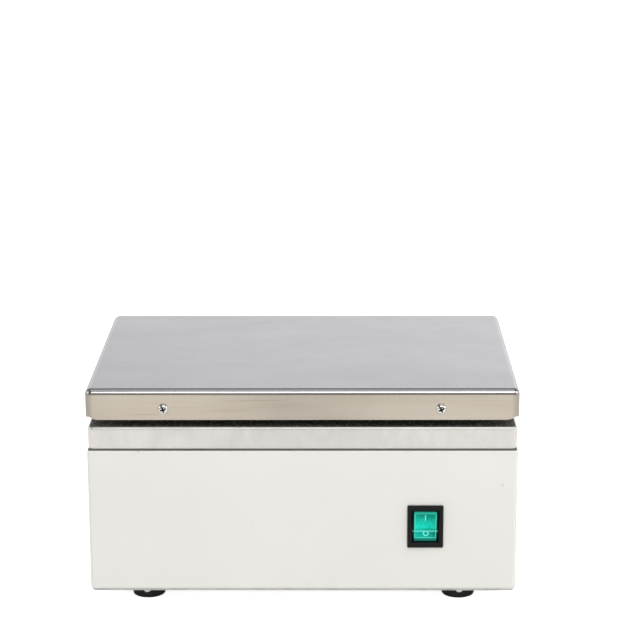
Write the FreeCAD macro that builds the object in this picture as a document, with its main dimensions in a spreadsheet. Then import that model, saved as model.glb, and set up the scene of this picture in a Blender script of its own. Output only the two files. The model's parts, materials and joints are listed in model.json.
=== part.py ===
import FreeCAD, Part
import math
import os
import re

import Sketcher
from FreeCAD import Placement, Rotation, Vector

# Laboratory hot plate: a folded stainless cover with its heaters, held over an air gap on a stainless
# heat shield and a painted sheet-steel housing with a rocker switch.
# Millimetres. X to the right, Y to the back, Z up. The origin is the middle of the footprint, on the bench.

SIZES = {
    # overall
    "body_width": 310.0,
    "body_depth": 215.0,
    # top cover, the hot surface
    "cover_skirt": 22.5,
    "cover_sheet": 1.2,
    "cover_bend": 4.2,
    "cover_corner": 5.0,
    "skirt_edge_round": 0.4,
    "corner_cut_start": 0.5,
    "corner_cut_height": 3.3,
    "cover_screw_inset": 56.0,
    "cover_screw_height": 8.3,
    "cover_screw_length": 8.0,
    "screw_hole_play": 0.4,
    # heaters under the cover
    "heater_margin": 6.0,
    "mica_sheet": 0.5,
    "core_sheet": 0.8,
    "ribbon_thickness": 0.3,
    "ribbon_width": 3.0,
    "ribbon_turns": 15,
    "ribbon_margin": 9.0,
    "element_gap": 14.0,
    "element_edge": 9.0,
    "pressure_sheet": 2.0,
    "stud_diameter": 5.0,
    "stud_edge": 10.0,
    "stud_gap": 4.0,
    "stud_tail": 1.0,
    "stud_nut_flats": 8.0,
    "stud_nut_height": 4.0,
    "stud_washer_diameter": 10.0,
    "stud_washer_thickness": 1.0,
    # heater terminals
    "terminal_inset": 15.0,
    "terminal_diameter": 4.0,
    "terminal_head": 7.0,
    "terminal_nut_flats": 7.0,
    "terminal_nut_height": 3.2,
    "terminal_tail": 1.5,
    "bead_neck": 8.0,
    "bead_flange": 12.0,
    "bead_flange_height": 2.0,
    # tray and insulation
    "tray_recess": 1.0,
    "tray_clearance": 0.2,
    "tray_sheet": 1.0,
    "tray_wall": 13.0,
    "tray_bend": 2.0,
    "pad_clearance": 0.3,
    "pad_hole_play": 1.5,
    "clinch_nut_diameter": 8.0,
    "clinch_nut_length": 4.0,
    # air gap
    "air_gap": 5.5,
    "spacer_inset_x": 43.0,
    "spacer_inset_y": 42.0,
    "spacer_diameter": 12.0,
    "spacer_bolt_diameter": 5.0,
    "spacer_bolt_length": 16.0,
    "spacer_washer_diameter": 10.0,
    "spacer_washer_thickness": 1.0,
    "spacer_nut_flats": 8.0,
    "spacer_nut_height": 4.0,
    "sleeve_y": 48.0,
    "sleeve_diameter": 14.0,
    "sleeve_bore": 10.0,
    "sleeve_flange": 18.0,
    "sleeve_flange_height": 2.0,
    "sleeve_tail": 6.0,
    # heat shield
    "shield_height": 17.0,
    "shield_inset": 1.2,
    "shield_sheet": 1.0,
    "shield_bend": 2.0,
    "shield_corner": 4.0,
    "shield_flange": 12.0,
    "shield_screw_inset": 8.0,
    "shield_screw_reach": 120.0,
    "shield_screw_length": 8.0,
    # housing
    "housing_inset": 0.4,
    "housing_height": 106.5,
    "housing_sheet": 1.2,
    "housing_bend": 2.0,
    "housing_corner": 3.0,
    "housing_top_flange": 15.0,
    "housing_bottom_flange": 12.0,
    # base
    "base_sheet": 1.2,
    "base_inset": 1.5,
    "base_corner": 3.0,
    "base_screw_inset": 4.8,
    "base_screw_length": 8.0,
    "vent_length": 46.0,
    "vent_width": 4.0,
    "vent_pitch": 9.0,
    "vent_count": 7,
    "vent_reach": 60.0,
    # feet
    "foot_height": 9.0,
    "foot_top_diameter": 26.5,
    "foot_base_diameter": 23.4,
    "foot_round": 0.8,
    "foot_recess_diameter": 13.0,
    "foot_recess_depth": 5.0,
    "foot_inset_x": 41.2,
    "foot_inset_y": 20.8,
    "foot_washer_diameter": 12.0,
    "foot_washer_thickness": 0.8,
    "foot_screw_length": 10.0,
    "foot_nut_flats": 7.0,
    "foot_nut_height": 3.2,
    # screws used in more than one place
    "small_shank": 4.0,
    "small_head": 7.8,
    "small_head_height": 2.9,
    "bolt_head": 9.5,
    "bolt_head_height": 3.4,
    "tapping_shank": 2.9,
    "tapping_head": 5.6,
    "tapping_head_height": 2.4,
    "tip_length": 2.0,
    # rocker switch
    "switch_inset": 66.5,
    "switch_height": 59.0,
    "bezel_width": 26.0,
    "bezel_height": 32.0,
    "bezel_thickness": 2.0,
    "bezel_bevel": 0.8,
    "bezel_corner": 1.0,
    "switch_body_width": 22.2,
    "switch_body_height": 28.2,
    "switch_body_depth": 21.0,
    "cutout_play": 0.2,
    "cavity_width": 19.0,
    "cavity_height": 23.8,
    "cavity_depth": 12.0,
    "cavity_bevel": 0.5,
    "pivot_depth": 1.0,
    "pivot_diameter": 2.8,
    "pivot_length": 1.35,
    "pivot_play": 0.05,
    "rocker_play": 0.35,
    "rocker_end_play": 0.25,
    "rocker_rise": 2.75,
    "rocker_dish": 1.15,
    "rocker_crease": 3.45,
    "rocker_back": 5.0,
    "rocker_wall": 1.5,
    "rocker_edge_round": 0.5,
    "rocker_tilt": 12.0,
    "rocker_side_bevel": 0.9,
    "rocker_bevel_depth": 1.25,
    "snap_height": 1.1,
    "snap_width": 9.0,
    "snap_length": 7.0,
    "lamp_diameter": 4.0,
    "lamp_length": 9.0,
    "blade_width": 6.3,
    "blade_thickness": 0.8,
    "blade_length": 9.0,
    "blade_seat": 5.0,
    "blade_reach_x": 5.0,
    "blade_reach_z": 8.0,
    # cord bush in the back wall
    "bush_inset": 45.0,
    "bush_height": 38.0,
    "bush_neck": 16.0,
    "bush_flange": 22.0,
    "bush_flange_length": 3.0,
    "bush_collar_length": 4.0,
    "bush_bore": 8.0,
    # terminal block and earth stud on the base plate
    "block_inset_x": 59.0,
    "block_inset_y": 55.5,
    "block_width": 46.0,
    "block_depth": 20.0,
    "block_height": 14.0,
    "block_pitch": 11.0,
    "block_wire_hole": 4.0,
    "block_wire_height": 5.0,
    "block_screw_hole": 3.6,
    "block_screw_reach": 5.5,
    "block_screw_length": 6.0,
    "block_mount_reach": 19.0,
    "earth_gap": 40.0,
    "earth_stud_height": 12.0,
    # inner wiring
    "lead_diameter": 2.8,
    "lead_bend": 9.0,
    "lead_seat": 6.0,
    "lead_turn": 11.0,
    "lead_floor": 5.0,
    "lead_ceiling": 8.0,
    "lead_side": 20.0,
    "lead_spacing": 2.0,
    "lug_diameter": 9.0,
    "lug_thickness": 0.8,
}

# Levels, each built on the one below it
HOUSING_BOTTOM = "(foot_height + base_sheet)"
SHIELD_BOTTOM = f"({HOUSING_BOTTOM} + housing_height)"
SHIELD_TOP = f"({SHIELD_BOTTOM} + shield_height)"
SKIRT_BOTTOM = f"({SHIELD_TOP} + air_gap)"
COVER_UNDERSIDE = f"({SKIRT_BOTTOM} + cover_skirt - cover_sheet)"
UPPER_MICA_BOTTOM = f"({COVER_UNDERSIDE} - mica_sheet)"
CORE_BOTTOM = f"({UPPER_MICA_BOTTOM} - ribbon_thickness - core_sheet)"
RIBBON_BOTTOM = f"({CORE_BOTTOM} - ribbon_thickness)"
LOWER_MICA_BOTTOM = f"({RIBBON_BOTTOM} - mica_sheet)"
PRESSURE_BOTTOM = f"({LOWER_MICA_BOTTOM} - pressure_sheet)"
TRAY_BOTTOM = f"({SKIRT_BOTTOM} + tray_recess)"
TRAY_FLOOR = f"({TRAY_BOTTOM} + tray_sheet)"

# Plan sizes and places
TRAY_WIDTH = "(body_width - 2 * (cover_sheet + tray_clearance))"
TRAY_DEPTH = "(body_depth - 2 * (cover_sheet + tray_clearance))"
HEATER_WIDTH = f"({TRAY_WIDTH} - 2 * (tray_sheet + heater_margin))"
HEATER_DEPTH = f"({TRAY_DEPTH} - 2 * (tray_sheet + heater_margin))"
STUD_X = f"({HEATER_WIDTH} / 2 - stud_edge)"
STUD_Y = f"({HEATER_DEPTH} / 2 - stud_edge)"
ELEMENT_WIDTH = f"({STUD_X} - stud_gap - element_gap / 2)"
ELEMENT_DEPTH = f"({HEATER_DEPTH} - 2 * element_edge)"
RIBBON_PITCH = f"(({ELEMENT_WIDTH} - 2 * ribbon_margin) / (ribbon_turns - 1))"
RIBBON_LAST = f"({ELEMENT_WIDTH} - ribbon_margin)"
ELEMENT_LEFT_X = f"(-element_gap / 2 - {ELEMENT_WIDTH})"
ELEMENT_RIGHT_X = "(element_gap / 2)"
TERMINAL_Y = f"({ELEMENT_DEPTH} / 2 - terminal_inset)"
SPACER_X = "(body_width / 2 - spacer_inset_x)"
SPACER_Y = "(body_depth / 2 - spacer_inset_y)"
FOOT_X = "(body_width / 2 - foot_inset_x)"
FOOT_Y = "(body_depth / 2 - foot_inset_y)"
COVER_SCREW_X = "(body_width / 2 - cover_screw_inset)"
COVER_SCREW_Z = f"({SKIRT_BOTTOM} + cover_screw_height)"
SHIELD_WIDTH = "(body_width - 2 * shield_inset)"
SHIELD_DEPTH = "(body_depth - 2 * shield_inset)"
SHIELD_SCREW_Y = "(body_depth / 2 - shield_screw_inset)"
BASE_SCREW_Y = "(body_depth / 2 - base_screw_inset)"
BASE_SCREW_SIDE_X = "(body_width / 2 - base_screw_inset)"
SWITCH_X = "(body_width / 2 - switch_inset)"
PANEL_Y = "(-body_depth / 2)"
HOUSING_WIDTH = "(body_width - 2 * housing_inset)"
BUSH_X = "(bush_inset - body_width / 2)"
BLOCK_X = "(block_inset_x - body_width / 2)"
BLOCK_Y = "(body_depth / 2 - block_inset_y)"
EARTH_X = f"({BLOCK_X} + earth_gap)"
BLOCK_TOP = f"({HOUSING_BOTTOM} + block_height)"
BLOCK_FRONT = f"({BLOCK_Y} - block_depth / 2)"
WIRE_LEVEL = f"({HOUSING_BOTTOM} + block_wire_height)"
BLADE_TIP_Y = f"({PANEL_Y} + switch_body_depth + blade_length)"

BOTH_SIDES = ("", "-")
TINY = 1e-4

doc = FreeCAD.newDocument("HotPlate")
sheet = doc.addObject("Spreadsheet::Sheet", "Sheet")
for row, (alias, number) in enumerate(SIZES.items(), start=1):
    sheet.set(f"A{row}", alias.replace("_", " "))
    sheet.set(f"B{row}", str(number))
    sheet.setAlias(f"B{row}", alias)
doc.recompute()

nodes = []


def bound(rule):
    """The rule with every size's name turned into a reference to the sheet."""
    return re.sub(r"[a-z_]+", lambda word: f"Sheet.{word[0]}" if word[0] in SIZES else word[0], rule)


def size(rule):
    """What the rule comes to, in millimetres."""
    return float(sheet.evalExpression(rule))


def hold(sketch, kind, geometry, point, rule):
    """Ties one coordinate of a sketch point to a rule."""
    constraint = Sketcher.Constraint(kind, -1, 1, geometry, point, size(rule))
    index = sketch.addConstraint(constraint)
    name = f"{kind}_{geometry}_{point}"
    sketch.renameConstraint(index, name)
    sketch.setExpression(f"Constraints.{name}", bound(rule))


def outline(sketch, corners):
    """A closed outline of straight lines through corners given as pairs of rules."""
    first = sketch.GeometryCount
    points = [Vector(size(x), size(y), 0) for x, y in corners]
    for here, there in zip(points, points[1:] + points[:1]):
        sketch.addGeometry(Part.LineSegment(here, there))
    for index, (x, y) in enumerate(corners):
        previous = first + (index - 1) % len(corners)
        sketch.addConstraint(Sketcher.Constraint("Coincident", previous, 2, first + index, 1))
        hold(sketch, "DistanceX", first + index, 1, x)
        hold(sketch, "DistanceY", first + index, 1, y)


def rectangle(sketch, width, height, x="0", y="0"):
    left, right = f"{x} - ({width}) / 2", f"{x} + ({width}) / 2"
    low, high = f"{y} - ({height}) / 2", f"{y} + ({height}) / 2"
    outline(sketch, [(left, low), (right, low), (right, high), (left, high)])


def hexagon(sketch, flats):
    """A hexagon about the origin, with two of its flats facing along X."""
    side, tip = f"{flats} / 2", f"{flats} / sqrt(3)"
    outline(sketch, [(side, f"-{tip} / 2"), (side, f"{tip} / 2"), ("0", tip),
                     (f"-{side}", f"{tip} / 2"), (f"-{side}", f"-{tip} / 2"), ("0", f"-{tip}")])


def circle(sketch, diameter, x="0", y="0"):
    centre = Vector(size(x), size(y), 0)
    index = sketch.addGeometry(Part.Circle(centre, Vector(0, 0, 1), size(diameter) / 2))
    constraint = sketch.addConstraint(Sketcher.Constraint("Diameter", index, size(diameter)))
    sketch.renameConstraint(constraint, f"Diameter_{index}")
    sketch.setExpression(f"Constraints.Diameter_{index}", bound(diameter))
    hold(sketch, "DistanceX", index, 3, x)
    hold(sketch, "DistanceY", index, 3, y)


def bent_wire(label, places):
    """An insulated wire: straight runs between places given as rules, joined by tangent arcs."""
    corners = [Vector(size(x), size(y), size(z)) for x, y, z in places]
    bend = size("lead_bend")
    runs = []
    here = corners[0]
    for before, corner, after in zip(corners, corners[1:], corners[2:]):
        back, ahead = (before - corner).normalize(), (after - corner).normalize()
        half_turn = (math.pi - back.getAngle(ahead)) / 2
        start, end = (corner + side * bend * math.tan(half_turn) for side in (back, ahead))
        middle = corner + (back + ahead).normalize() * bend * (1 / math.cos(half_turn) - 1)
        runs.append(Part.makeLine(here, start))
        runs.append(Part.Arc(start, middle, end).toShape())
        here = end
    runs.append(Part.makeLine(here, corners[-1]))
    route = doc.addObject("Part::Feature", f"{label}_route")
    route.Shape = Part.Wire(runs)
    section = doc.addObject("Part::Circle", f"{label}_section")
    section.setExpression("Radius", bound("lead_diameter / 2"))
    section.Placement = Placement(corners[0], Rotation(Vector(0, 0, 1), corners[1] - corners[0]))
    tube = doc.addObject("Part::Sweep", label)
    tube.Label = label
    tube.Sections = [section]
    tube.Spine = (route, [f"Edge{index}" for index in range(1, len(runs) + 1)])
    tube.Solid = True
    tube.Frenet = False
    nodes.append(tube)
    doc.recompute()


def corners_of(x, y):
    """The four places that mirror one another in both middle planes."""
    return [(f"{sx}{x}", f"{sy}{y}") for sx in BOTH_SIDES for sy in BOTH_SIDES]


class Piece:
    """One solid made by part-design features, placed by rules."""

    def __init__(self, label, x="0", y="0", z="0", node=True):
        self.body = doc.addObject("PartDesign::Body", label)
        self.body.Label = label
        for axis, rule in zip("xyz", (x, y, z)):
            self.body.setExpression(f"Placement.Base.{axis}", bound(rule))
        if node:
            nodes.append(self.body)

    def origin(self, role):
        return next(item for item in self.body.Origin.OriginFeatures if item.Role == role)

    def sketch(self, plane="XY_Plane", offset="0"):
        """A sketch on one of the body's own planes, moved along the plane's normal."""
        sketch = self.body.newObject("Sketcher::SketchObject", f"{self.body.Name}_Sketch")
        sketch.AttachmentSupport = (self.origin(plane), [""])
        sketch.MapMode = "FlatFace"
        sketch.setExpression("AttachmentOffset.Base.z", bound(offset))
        return sketch

    def feature(self, kind):
        return self.body.newObject(f"PartDesign::{kind}", f"{self.body.Name}_{kind}")

    def shape(self):
        doc.recompute()
        return self.body.Tip.Shape

    def pad(self, sketch, length, reverse=False, both=False):
        feature = self.feature("Pad")
        feature.Profile = sketch
        feature.Reversed = reverse
        feature.SideType = "Symmetric" if both else "One side"
        feature.setExpression("Length", bound(length))
        doc.recompute()
        return feature

    def pocket(self, sketch, depth=None, reverse=False, both=False):
        """Cuts the sketch into the solid, against its normal, or right through without a depth."""
        before = self.shape().Volume
        feature = self.feature("Pocket")
        feature.Profile = sketch
        feature.Reversed = reverse
        feature.SideType = "Symmetric" if both else "One side"
        if depth is None:
            feature.Type = "ThroughAll"
        else:
            feature.setExpression("Length", bound(depth))
        doc.recompute()
        if feature.Shape.Volume > before - TINY:
            raise ValueError(f"a pocket in {self.body.Label} cuts nothing")
        return feature

    def revolve(self, sketch):
        feature = self.feature("Revolution")
        feature.Profile = sketch
        feature.ReferenceAxis = (sketch, ["V_Axis"])
        feature.Angle = 360
        doc.recompute()
        return feature

    def dress(self, kind, chosen, rule):
        """A fillet or chamfer on the edges that the test chooses."""
        names = [f"Edge{i}" for i, edge in enumerate(self.shape().Edges, start=1) if chosen(edge)]
        if not names:
            raise ValueError(f"no edge to round in {self.body.Label}")
        base = self.body.Tip
        feature = self.feature(kind)
        feature.Base = (base, names)
        feature.setExpression("Radius" if kind == "Fillet" else "Size", bound(rule))
        doc.recompute()

    def fillet(self, chosen, rule):
        self.dress("Fillet", chosen, rule)

    def chamfer(self, chosen, rule):
        self.dress("Chamfer", chosen, rule)

    def shell(self, open_face, rule):
        """Leaves a wall inside the faces, open where the test says."""
        names = [f"Face{i}" for i, face in enumerate(self.shape().Faces, start=1) if open_face(face)]
        base = self.body.Tip
        feature = self.feature("Thickness")
        feature.Base = (base, names)
        feature.Reversed = True
        feature.setExpression("Value", bound(rule))
        doc.recompute()

    def row(self, features, length, count):
        """Repeats features along X."""
        pattern = self.feature("LinearPattern")
        pattern.Originals = features
        pattern.Direction = (self.origin("X_Axis"), [""])
        pattern.setExpression("Length", bound(length))
        pattern.setExpression("Occurrences", bound(count))
        self.body.Tip = pattern
        doc.recompute()


def upright(edge):
    return edge.BoundBox.XLength < TINY and edge.BoundBox.YLength < TINY


def level(height):
    """A test for edges that lie all along one level."""
    wanted = size(height)
    return lambda edge: abs(edge.BoundBox.ZMin - wanted) < TINY and abs(edge.BoundBox.ZMax - wanted) < TINY


def flat_at(height):
    """A test for level faces at a height."""
    wanted = size(height)
    return lambda face: abs(face.BoundBox.ZMin - wanted) < TINY and abs(face.BoundBox.ZMax - wanted) < TINY


def round_at(height, radius):
    """A test for round edges of one radius at one level."""
    wanted = size(radius)
    at_level = level(height)

    def test(edge):
        return at_level(edge) and hasattr(edge.Curve, "Radius") and abs(edge.Curve.Radius - wanted) < TINY

    return test


def group(label, template, places):
    """One node of equal solids: copies of a template, each at (x, y, z, rotation)."""
    copies = []
    for x, y, z, turn in places:
        copy = doc.addObject("App::Link", f"{label}_copy")
        copy.LinkedObject = template.body
        copy.Placement = Placement(Vector(), turn)
        for axis, rule in zip("xyz", (x, y, z)):
            copy.setExpression(f"Placement.Base.{axis}", bound(rule))
        copies.append(copy)
    compound = doc.addObject("Part::Compound", label)
    compound.Label = label
    compound.Links = copies
    nodes.append(compound)
    doc.recompute()


UP = Rotation()
DOWN = Rotation(Vector(1, 0, 0), 180)
TO_FRONT = Rotation(Vector(1, 0, 0), 90)
TO_BACK = Rotation(Vector(1, 0, 0), -90)


def turned(rotation, angle):
    """The rotation with the screw first turned about its own axis."""
    return rotation * Rotation(Vector(0, 0, 1), angle)


def pan_screw(label, head, head_height, shank, length, pointed=False):
    """A pan-head screw, head up on the plane z = 0, with a cross recess. The thread is left plain."""
    piece = Piece(label, node=False)
    tip = f"({shank} / 4)" if pointed else f"({shank} / 2 - {shank} / 10)"
    tip_rise = "tip_length" if pointed else f"({shank} / 10)"
    sketch = piece.sketch("XZ_Plane")
    outline(sketch, [("0", f"-({length})"), (tip, f"-({length})"),
                     (f"{shank} / 2", f"{tip_rise} - ({length})"),
                     (f"{shank} / 2", "0"), (f"{head} / 2", "0"), (f"{head} / 2", f"{head_height} * 0.35"),
                     (f"{head} * 0.40", f"{head_height} * 0.80"), (f"{head} * 0.24", head_height),
                     ("0", head_height)])
    piece.revolve(sketch)
    arm, half = f"{head} * 0.27", f"{head} * 0.065"
    recess = piece.sketch("XY_Plane", head_height)
    outline(recess, [(half, half), (arm, half), (arm, f"-{half}"),
                     (half, f"-{half}"), (half, f"-{arm}"), (f"-{half}", f"-{arm}"),
                     (f"-{half}", f"-{half}"), (f"-{arm}", f"-{half}"), (f"-{arm}", half),
                     (f"-{half}", half), (f"-{half}", arm), (half, arm)])
    piece.pocket(recess, f"{head_height} * 0.55")
    return piece


def ring(label, diameter, bore, thickness):
    """A washer or a plain bush that stands on z = 0."""
    piece = Piece(label, node=False)
    sketch = piece.sketch()
    circle(sketch, diameter)
    circle(sketch, bore)
    piece.pad(sketch, thickness)
    return piece


def nut(label, flats, bore, thickness):
    """A hexagon nut that stands on z = 0."""
    piece = Piece(label, node=False)
    sketch = piece.sketch()
    hexagon(sketch, flats)
    circle(sketch, bore)
    piece.pad(sketch, thickness)
    return piece


def rod(label, diameter, length):
    """A plain stud that hangs down from z = 0, with a bevelled end."""
    piece = Piece(label, node=False)
    sketch = piece.sketch("XZ_Plane")
    radius, bevel = f"({diameter}) / 2", f"({diameter}) / 8"
    outline(sketch, [("0", "0"), (radius, "0"), (radius, f"{bevel} - ({length})"),
                     (f"{radius} - {bevel}", f"-({length})"), ("0", f"-({length})")])
    piece.revolve(sketch)
    return piece


def sheet_with_holes(label, z, width, depth, thickness, holes):
    """A flat sheet in plan with round holes, given as (x, y, diameter)."""
    piece = Piece(label, z=z)
    sketch = piece.sketch()
    rectangle(sketch, width, depth)
    for x, y, diameter in holes:
        circle(sketch, diameter, x, y)
    piece.pad(sketch, thickness)
    return piece


STUD_PLACES = [(x, y) for x in (f"-{STUD_X}", "0", STUD_X) for y in (f"-{STUD_Y}", "0", STUD_Y)]
ELEMENTS_X = (ELEMENT_LEFT_X, ELEMENT_RIGHT_X)
TERMINAL_PLACES = [(f"({left} + ribbon_margin)", f"-{TERMINAL_Y}") for left in ELEMENTS_X]
TERMINAL_PLACES += [(f"({left} + {RIBBON_LAST})", TERMINAL_Y) for left in ELEMENTS_X]
SPACER_PLACES = corners_of(SPACER_X, SPACER_Y)
FOOT_PLACES = corners_of(FOOT_X, FOOT_Y)
BASE_SCREW_PLACES = corners_of(FOOT_X, BASE_SCREW_Y)
BASE_SCREW_PLACES += [(f"{side}{BASE_SCREW_SIDE_X}", "0") for side in BOTH_SIDES]
SHIELD_SCREW_PLACES = [(x, f"{side}{SHIELD_SCREW_Y}") for side in BOTH_SIDES
                       for x in ("-shield_screw_reach", "0", "shield_screw_reach")]


def make_cover():
    """The folded and welded top, open below."""
    piece = Piece("top_cover", z=SKIRT_BOTTOM)
    plan = piece.sketch()
    rectangle(plan, "body_width", "body_depth")
    piece.pad(plan, "cover_skirt")
    piece.fillet(upright, "cover_corner")
    piece.fillet(level("cover_skirt"), "cover_bend")
    piece.shell(flat_at("0"), "cover_sheet")
    holes = piece.sketch("XZ_Plane")
    for side in BOTH_SIDES:
        circle(holes, "small_shank + screw_hole_play", f"{side}{COVER_SCREW_X}", "cover_screw_height")
    piece.pocket(holes, both=True)
    half_width, half_depth = size("body_width / 2"), size("body_depth / 2")
    at_rim = level("0")
    corner = round_at("0", "cover_corner")

    def outer_rim(edge):
        box = edge.BoundBox
        straight = abs(abs(box.Center.x) - half_width) < TINY or abs(abs(box.Center.y) - half_depth) < TINY
        return at_rim(edge) and (straight or corner(edge))

    piece.fillet(outer_rim, "skirt_edge_round")
    centre_x, centre_y = "(body_width / 2 - cover_corner)", "(body_depth / 2 - cover_corner)"
    for (x, y), angle in zip(corners_of(centre_x, centre_y), (45, -45, 135, -135)):
        cut = piece.sketch()
        turn = Rotation(Vector(0, 0, 1), angle) * Rotation(Vector(1, 0, 0), 90)
        cut.AttachmentOffset = Placement(Vector(), turn)
        cut.setExpression("AttachmentOffset.Base.x", bound(x))
        cut.setExpression("AttachmentOffset.Base.y", bound(y))
        outer = "(cover_corner + skirt_edge_round)"
        middle = f"((corner_cut_start + {outer}) / 2)"
        outline(cut, [("corner_cut_start", "-skirt_edge_round"), (outer, "-skirt_edge_round"),
                      (outer, "corner_cut_height"), (middle, "corner_cut_height / 4"),
                      ("corner_cut_start", "0")])
        piece.pocket(cut, both=True)


def make_cover_fixings():
    screw = pan_screw("cover_screw", "small_head", "small_head_height", "small_shank", "cover_screw_length")
    places = []
    for side, angle in zip(BOTH_SIDES, (35, 62)):
        x = f"{side}{COVER_SCREW_X}"
        places.append((x, "-body_depth / 2", COVER_SCREW_Z, turned(TO_FRONT, angle)))
        places.append((x, "body_depth / 2", COVER_SCREW_Z, turned(TO_BACK, angle)))
    group("cover_screws", screw, places)
    insert = ring("clinch_nut", "clinch_nut_diameter", "small_shank", "clinch_nut_length")
    seat = f"({TRAY_DEPTH} / 2 - tray_sheet)"
    places = []
    for side in BOTH_SIDES:
        x = f"{side}{COVER_SCREW_X}"
        places.append((x, f"-{seat}", COVER_SCREW_Z, TO_BACK))
        places.append((x, seat, COVER_SCREW_Z, TO_FRONT))
    group("cover_clinch_nuts", insert, places)


def make_element(label, x):
    """A mica core with notched ends, and the resistance ribbon wound on it."""
    back = f"({ELEMENT_DEPTH} / 2)"
    core = Piece(f"heater_core_{label}", x=x, z=CORE_BOTTOM)
    plan = core.sketch()
    rectangle(plan, ELEMENT_WIDTH, ELEMENT_DEPTH, x=f"{ELEMENT_WIDTH} / 2")
    core.pad(plan, "core_sheet")
    notches = core.sketch(offset="core_sheet")
    for side in BOTH_SIDES:
        rectangle(notches, "ribbon_width", "ribbon_thickness", "ribbon_margin",
                  f"{side}({back} - ribbon_thickness / 2)")
    notch = core.pocket(notches)
    core.row([notch], f"{RIBBON_PITCH} * (ribbon_turns - 1)", "ribbon_turns")

    ribbon = Piece(f"heating_ribbon_{label}", x=x, z=RIBBON_BOTTOM)
    wound_height = "core_sheet + 2 * ribbon_thickness"
    first, second = "ribbon_margin", f"(ribbon_margin + {RIBBON_PITCH})"
    half = "ribbon_width / 2"

    def strip(corners, offset, length):
        sketch = ribbon.sketch(offset=offset)
        outline(sketch, corners)
        return ribbon.pad(sketch, length)

    def straight(x, low, high):
        left, right = f"{x} - {half}", f"{x} + {half}"
        return [(left, low), (right, low), (right, high), (left, high)]

    inner = f"({back} - ribbon_thickness)"
    top_level = "ribbon_thickness + core_sheet"
    turn = [
        strip(straight(first, f"-{back}", back), top_level, "ribbon_thickness"),
        strip(straight(first, inner, back), "0", wound_height),
        strip([(f"{second} - {half}", f"-{back}"), (f"{second} + {half}", f"-{back}"),
               (f"{first} + {half}", back), (f"{first} - {half}", back)], "0", "ribbon_thickness"),
        strip(straight(second, f"-{back}", f"-{inner}"), "0", wound_height),
    ]
    ribbon.row(turn, f"{RIBBON_PITCH} * (ribbon_turns - 2)", "ribbon_turns - 1")
    # the last run and the two tails that lie on the terminals
    strip(straight(RIBBON_LAST, f"-{back}", back), top_level, "ribbon_thickness")
    strip(straight(RIBBON_LAST, inner, back), "0", wound_height)
    tail = f"({TERMINAL_Y} - terminal_head / 2)"
    strip(straight(RIBBON_LAST, tail, back), "0", "ribbon_thickness")
    strip(straight(first, f"-{back}", f"-{inner}"), "0", wound_height)
    strip(straight(first, f"-{back}", f"-{tail}"), "0", "ribbon_thickness")


def make_heater():
    stud_hole = "stud_diameter + screw_hole_play"
    stud_holes = [(x, y, stud_hole) for x, y in STUD_PLACES]
    sheet_with_holes("upper_mica", UPPER_MICA_BOTTOM, HEATER_WIDTH, HEATER_DEPTH, "mica_sheet", stud_holes)
    make_element("left", ELEMENT_LEFT_X)
    make_element("right", ELEMENT_RIGHT_X)
    head_holes = [(x, y, "terminal_head + screw_hole_play") for x, y in TERMINAL_PLACES]
    sheet_with_holes("lower_mica", LOWER_MICA_BOTTOM, HEATER_WIDTH, HEATER_DEPTH, "mica_sheet",
                     stud_holes + head_holes)
    neck_holes = [(x, y, "bead_neck + screw_hole_play") for x, y in TERMINAL_PLACES]
    sheet_with_holes("pressure_plate", PRESSURE_BOTTOM, HEATER_WIDTH, HEATER_DEPTH, "pressure_sheet",
                     stud_holes + neck_holes)

    nut_bottom = f"({PRESSURE_BOTTOM} - stud_washer_thickness - stud_nut_height)"
    stud = rod("cover_stud", "stud_diameter", f"({COVER_UNDERSIDE} - {nut_bottom} + stud_tail)")
    group("cover_studs", stud, [(x, y, COVER_UNDERSIDE, UP) for x, y in STUD_PLACES])
    washer = ring("stud_washer", "stud_washer_diameter", stud_hole, "stud_washer_thickness")
    group("stud_washers", washer,
          [(x, y, f"{PRESSURE_BOTTOM} - stud_washer_thickness", UP) for x, y in STUD_PLACES])
    hex_nut = nut("stud_nut", "stud_nut_flats", "stud_diameter", "stud_nut_height")
    group("stud_nuts", hex_nut, [(x, y, nut_bottom, UP) for x, y in STUD_PLACES])


def make_terminals():
    """Headed pins that press on the ribbon's tails, led through the pressure plate in ceramic beads."""
    flange_bottom = f"({PRESSURE_BOTTOM} - bead_flange_height)"
    nut_bottom = f"({flange_bottom} - terminal_nut_height)"
    pin = Piece("terminal_pin", node=False)
    reach = f"({RIBBON_BOTTOM} - {nut_bottom} + terminal_tail)"
    sketch = pin.sketch("XZ_Plane")
    outline(sketch, [("0", "0"), ("terminal_head / 2", "0"), ("terminal_head / 2", "-mica_sheet"),
                     ("terminal_diameter / 2", "-mica_sheet"), ("terminal_diameter / 2", f"-{reach}"),
                     ("0", f"-{reach}")])
    pin.revolve(sketch)
    group("heater_terminals", pin, [(x, y, RIBBON_BOTTOM, UP) for x, y in TERMINAL_PLACES])

    bead = Piece("terminal_bead", node=False)
    bore = "(terminal_diameter / 2 + pivot_play)"
    foot = "(pressure_sheet + bead_flange_height)"
    sketch = bead.sketch("XZ_Plane")
    outline(sketch, [(bore, "0"), ("bead_neck / 2", "0"), ("bead_neck / 2", "-pressure_sheet"),
                     ("bead_flange / 2", "-pressure_sheet"), ("bead_flange / 2", f"-{foot}"),
                     (bore, f"-{foot}")])
    bead.revolve(sketch)
    group("terminal_beads", bead, [(x, y, LOWER_MICA_BOTTOM, UP) for x, y in TERMINAL_PLACES])

    hex_nut = nut("terminal_nut", "terminal_nut_flats", "terminal_diameter", "terminal_nut_height")
    group("terminal_nuts", hex_nut, [(x, y, nut_bottom, UP) for x, y in TERMINAL_PLACES])


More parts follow.
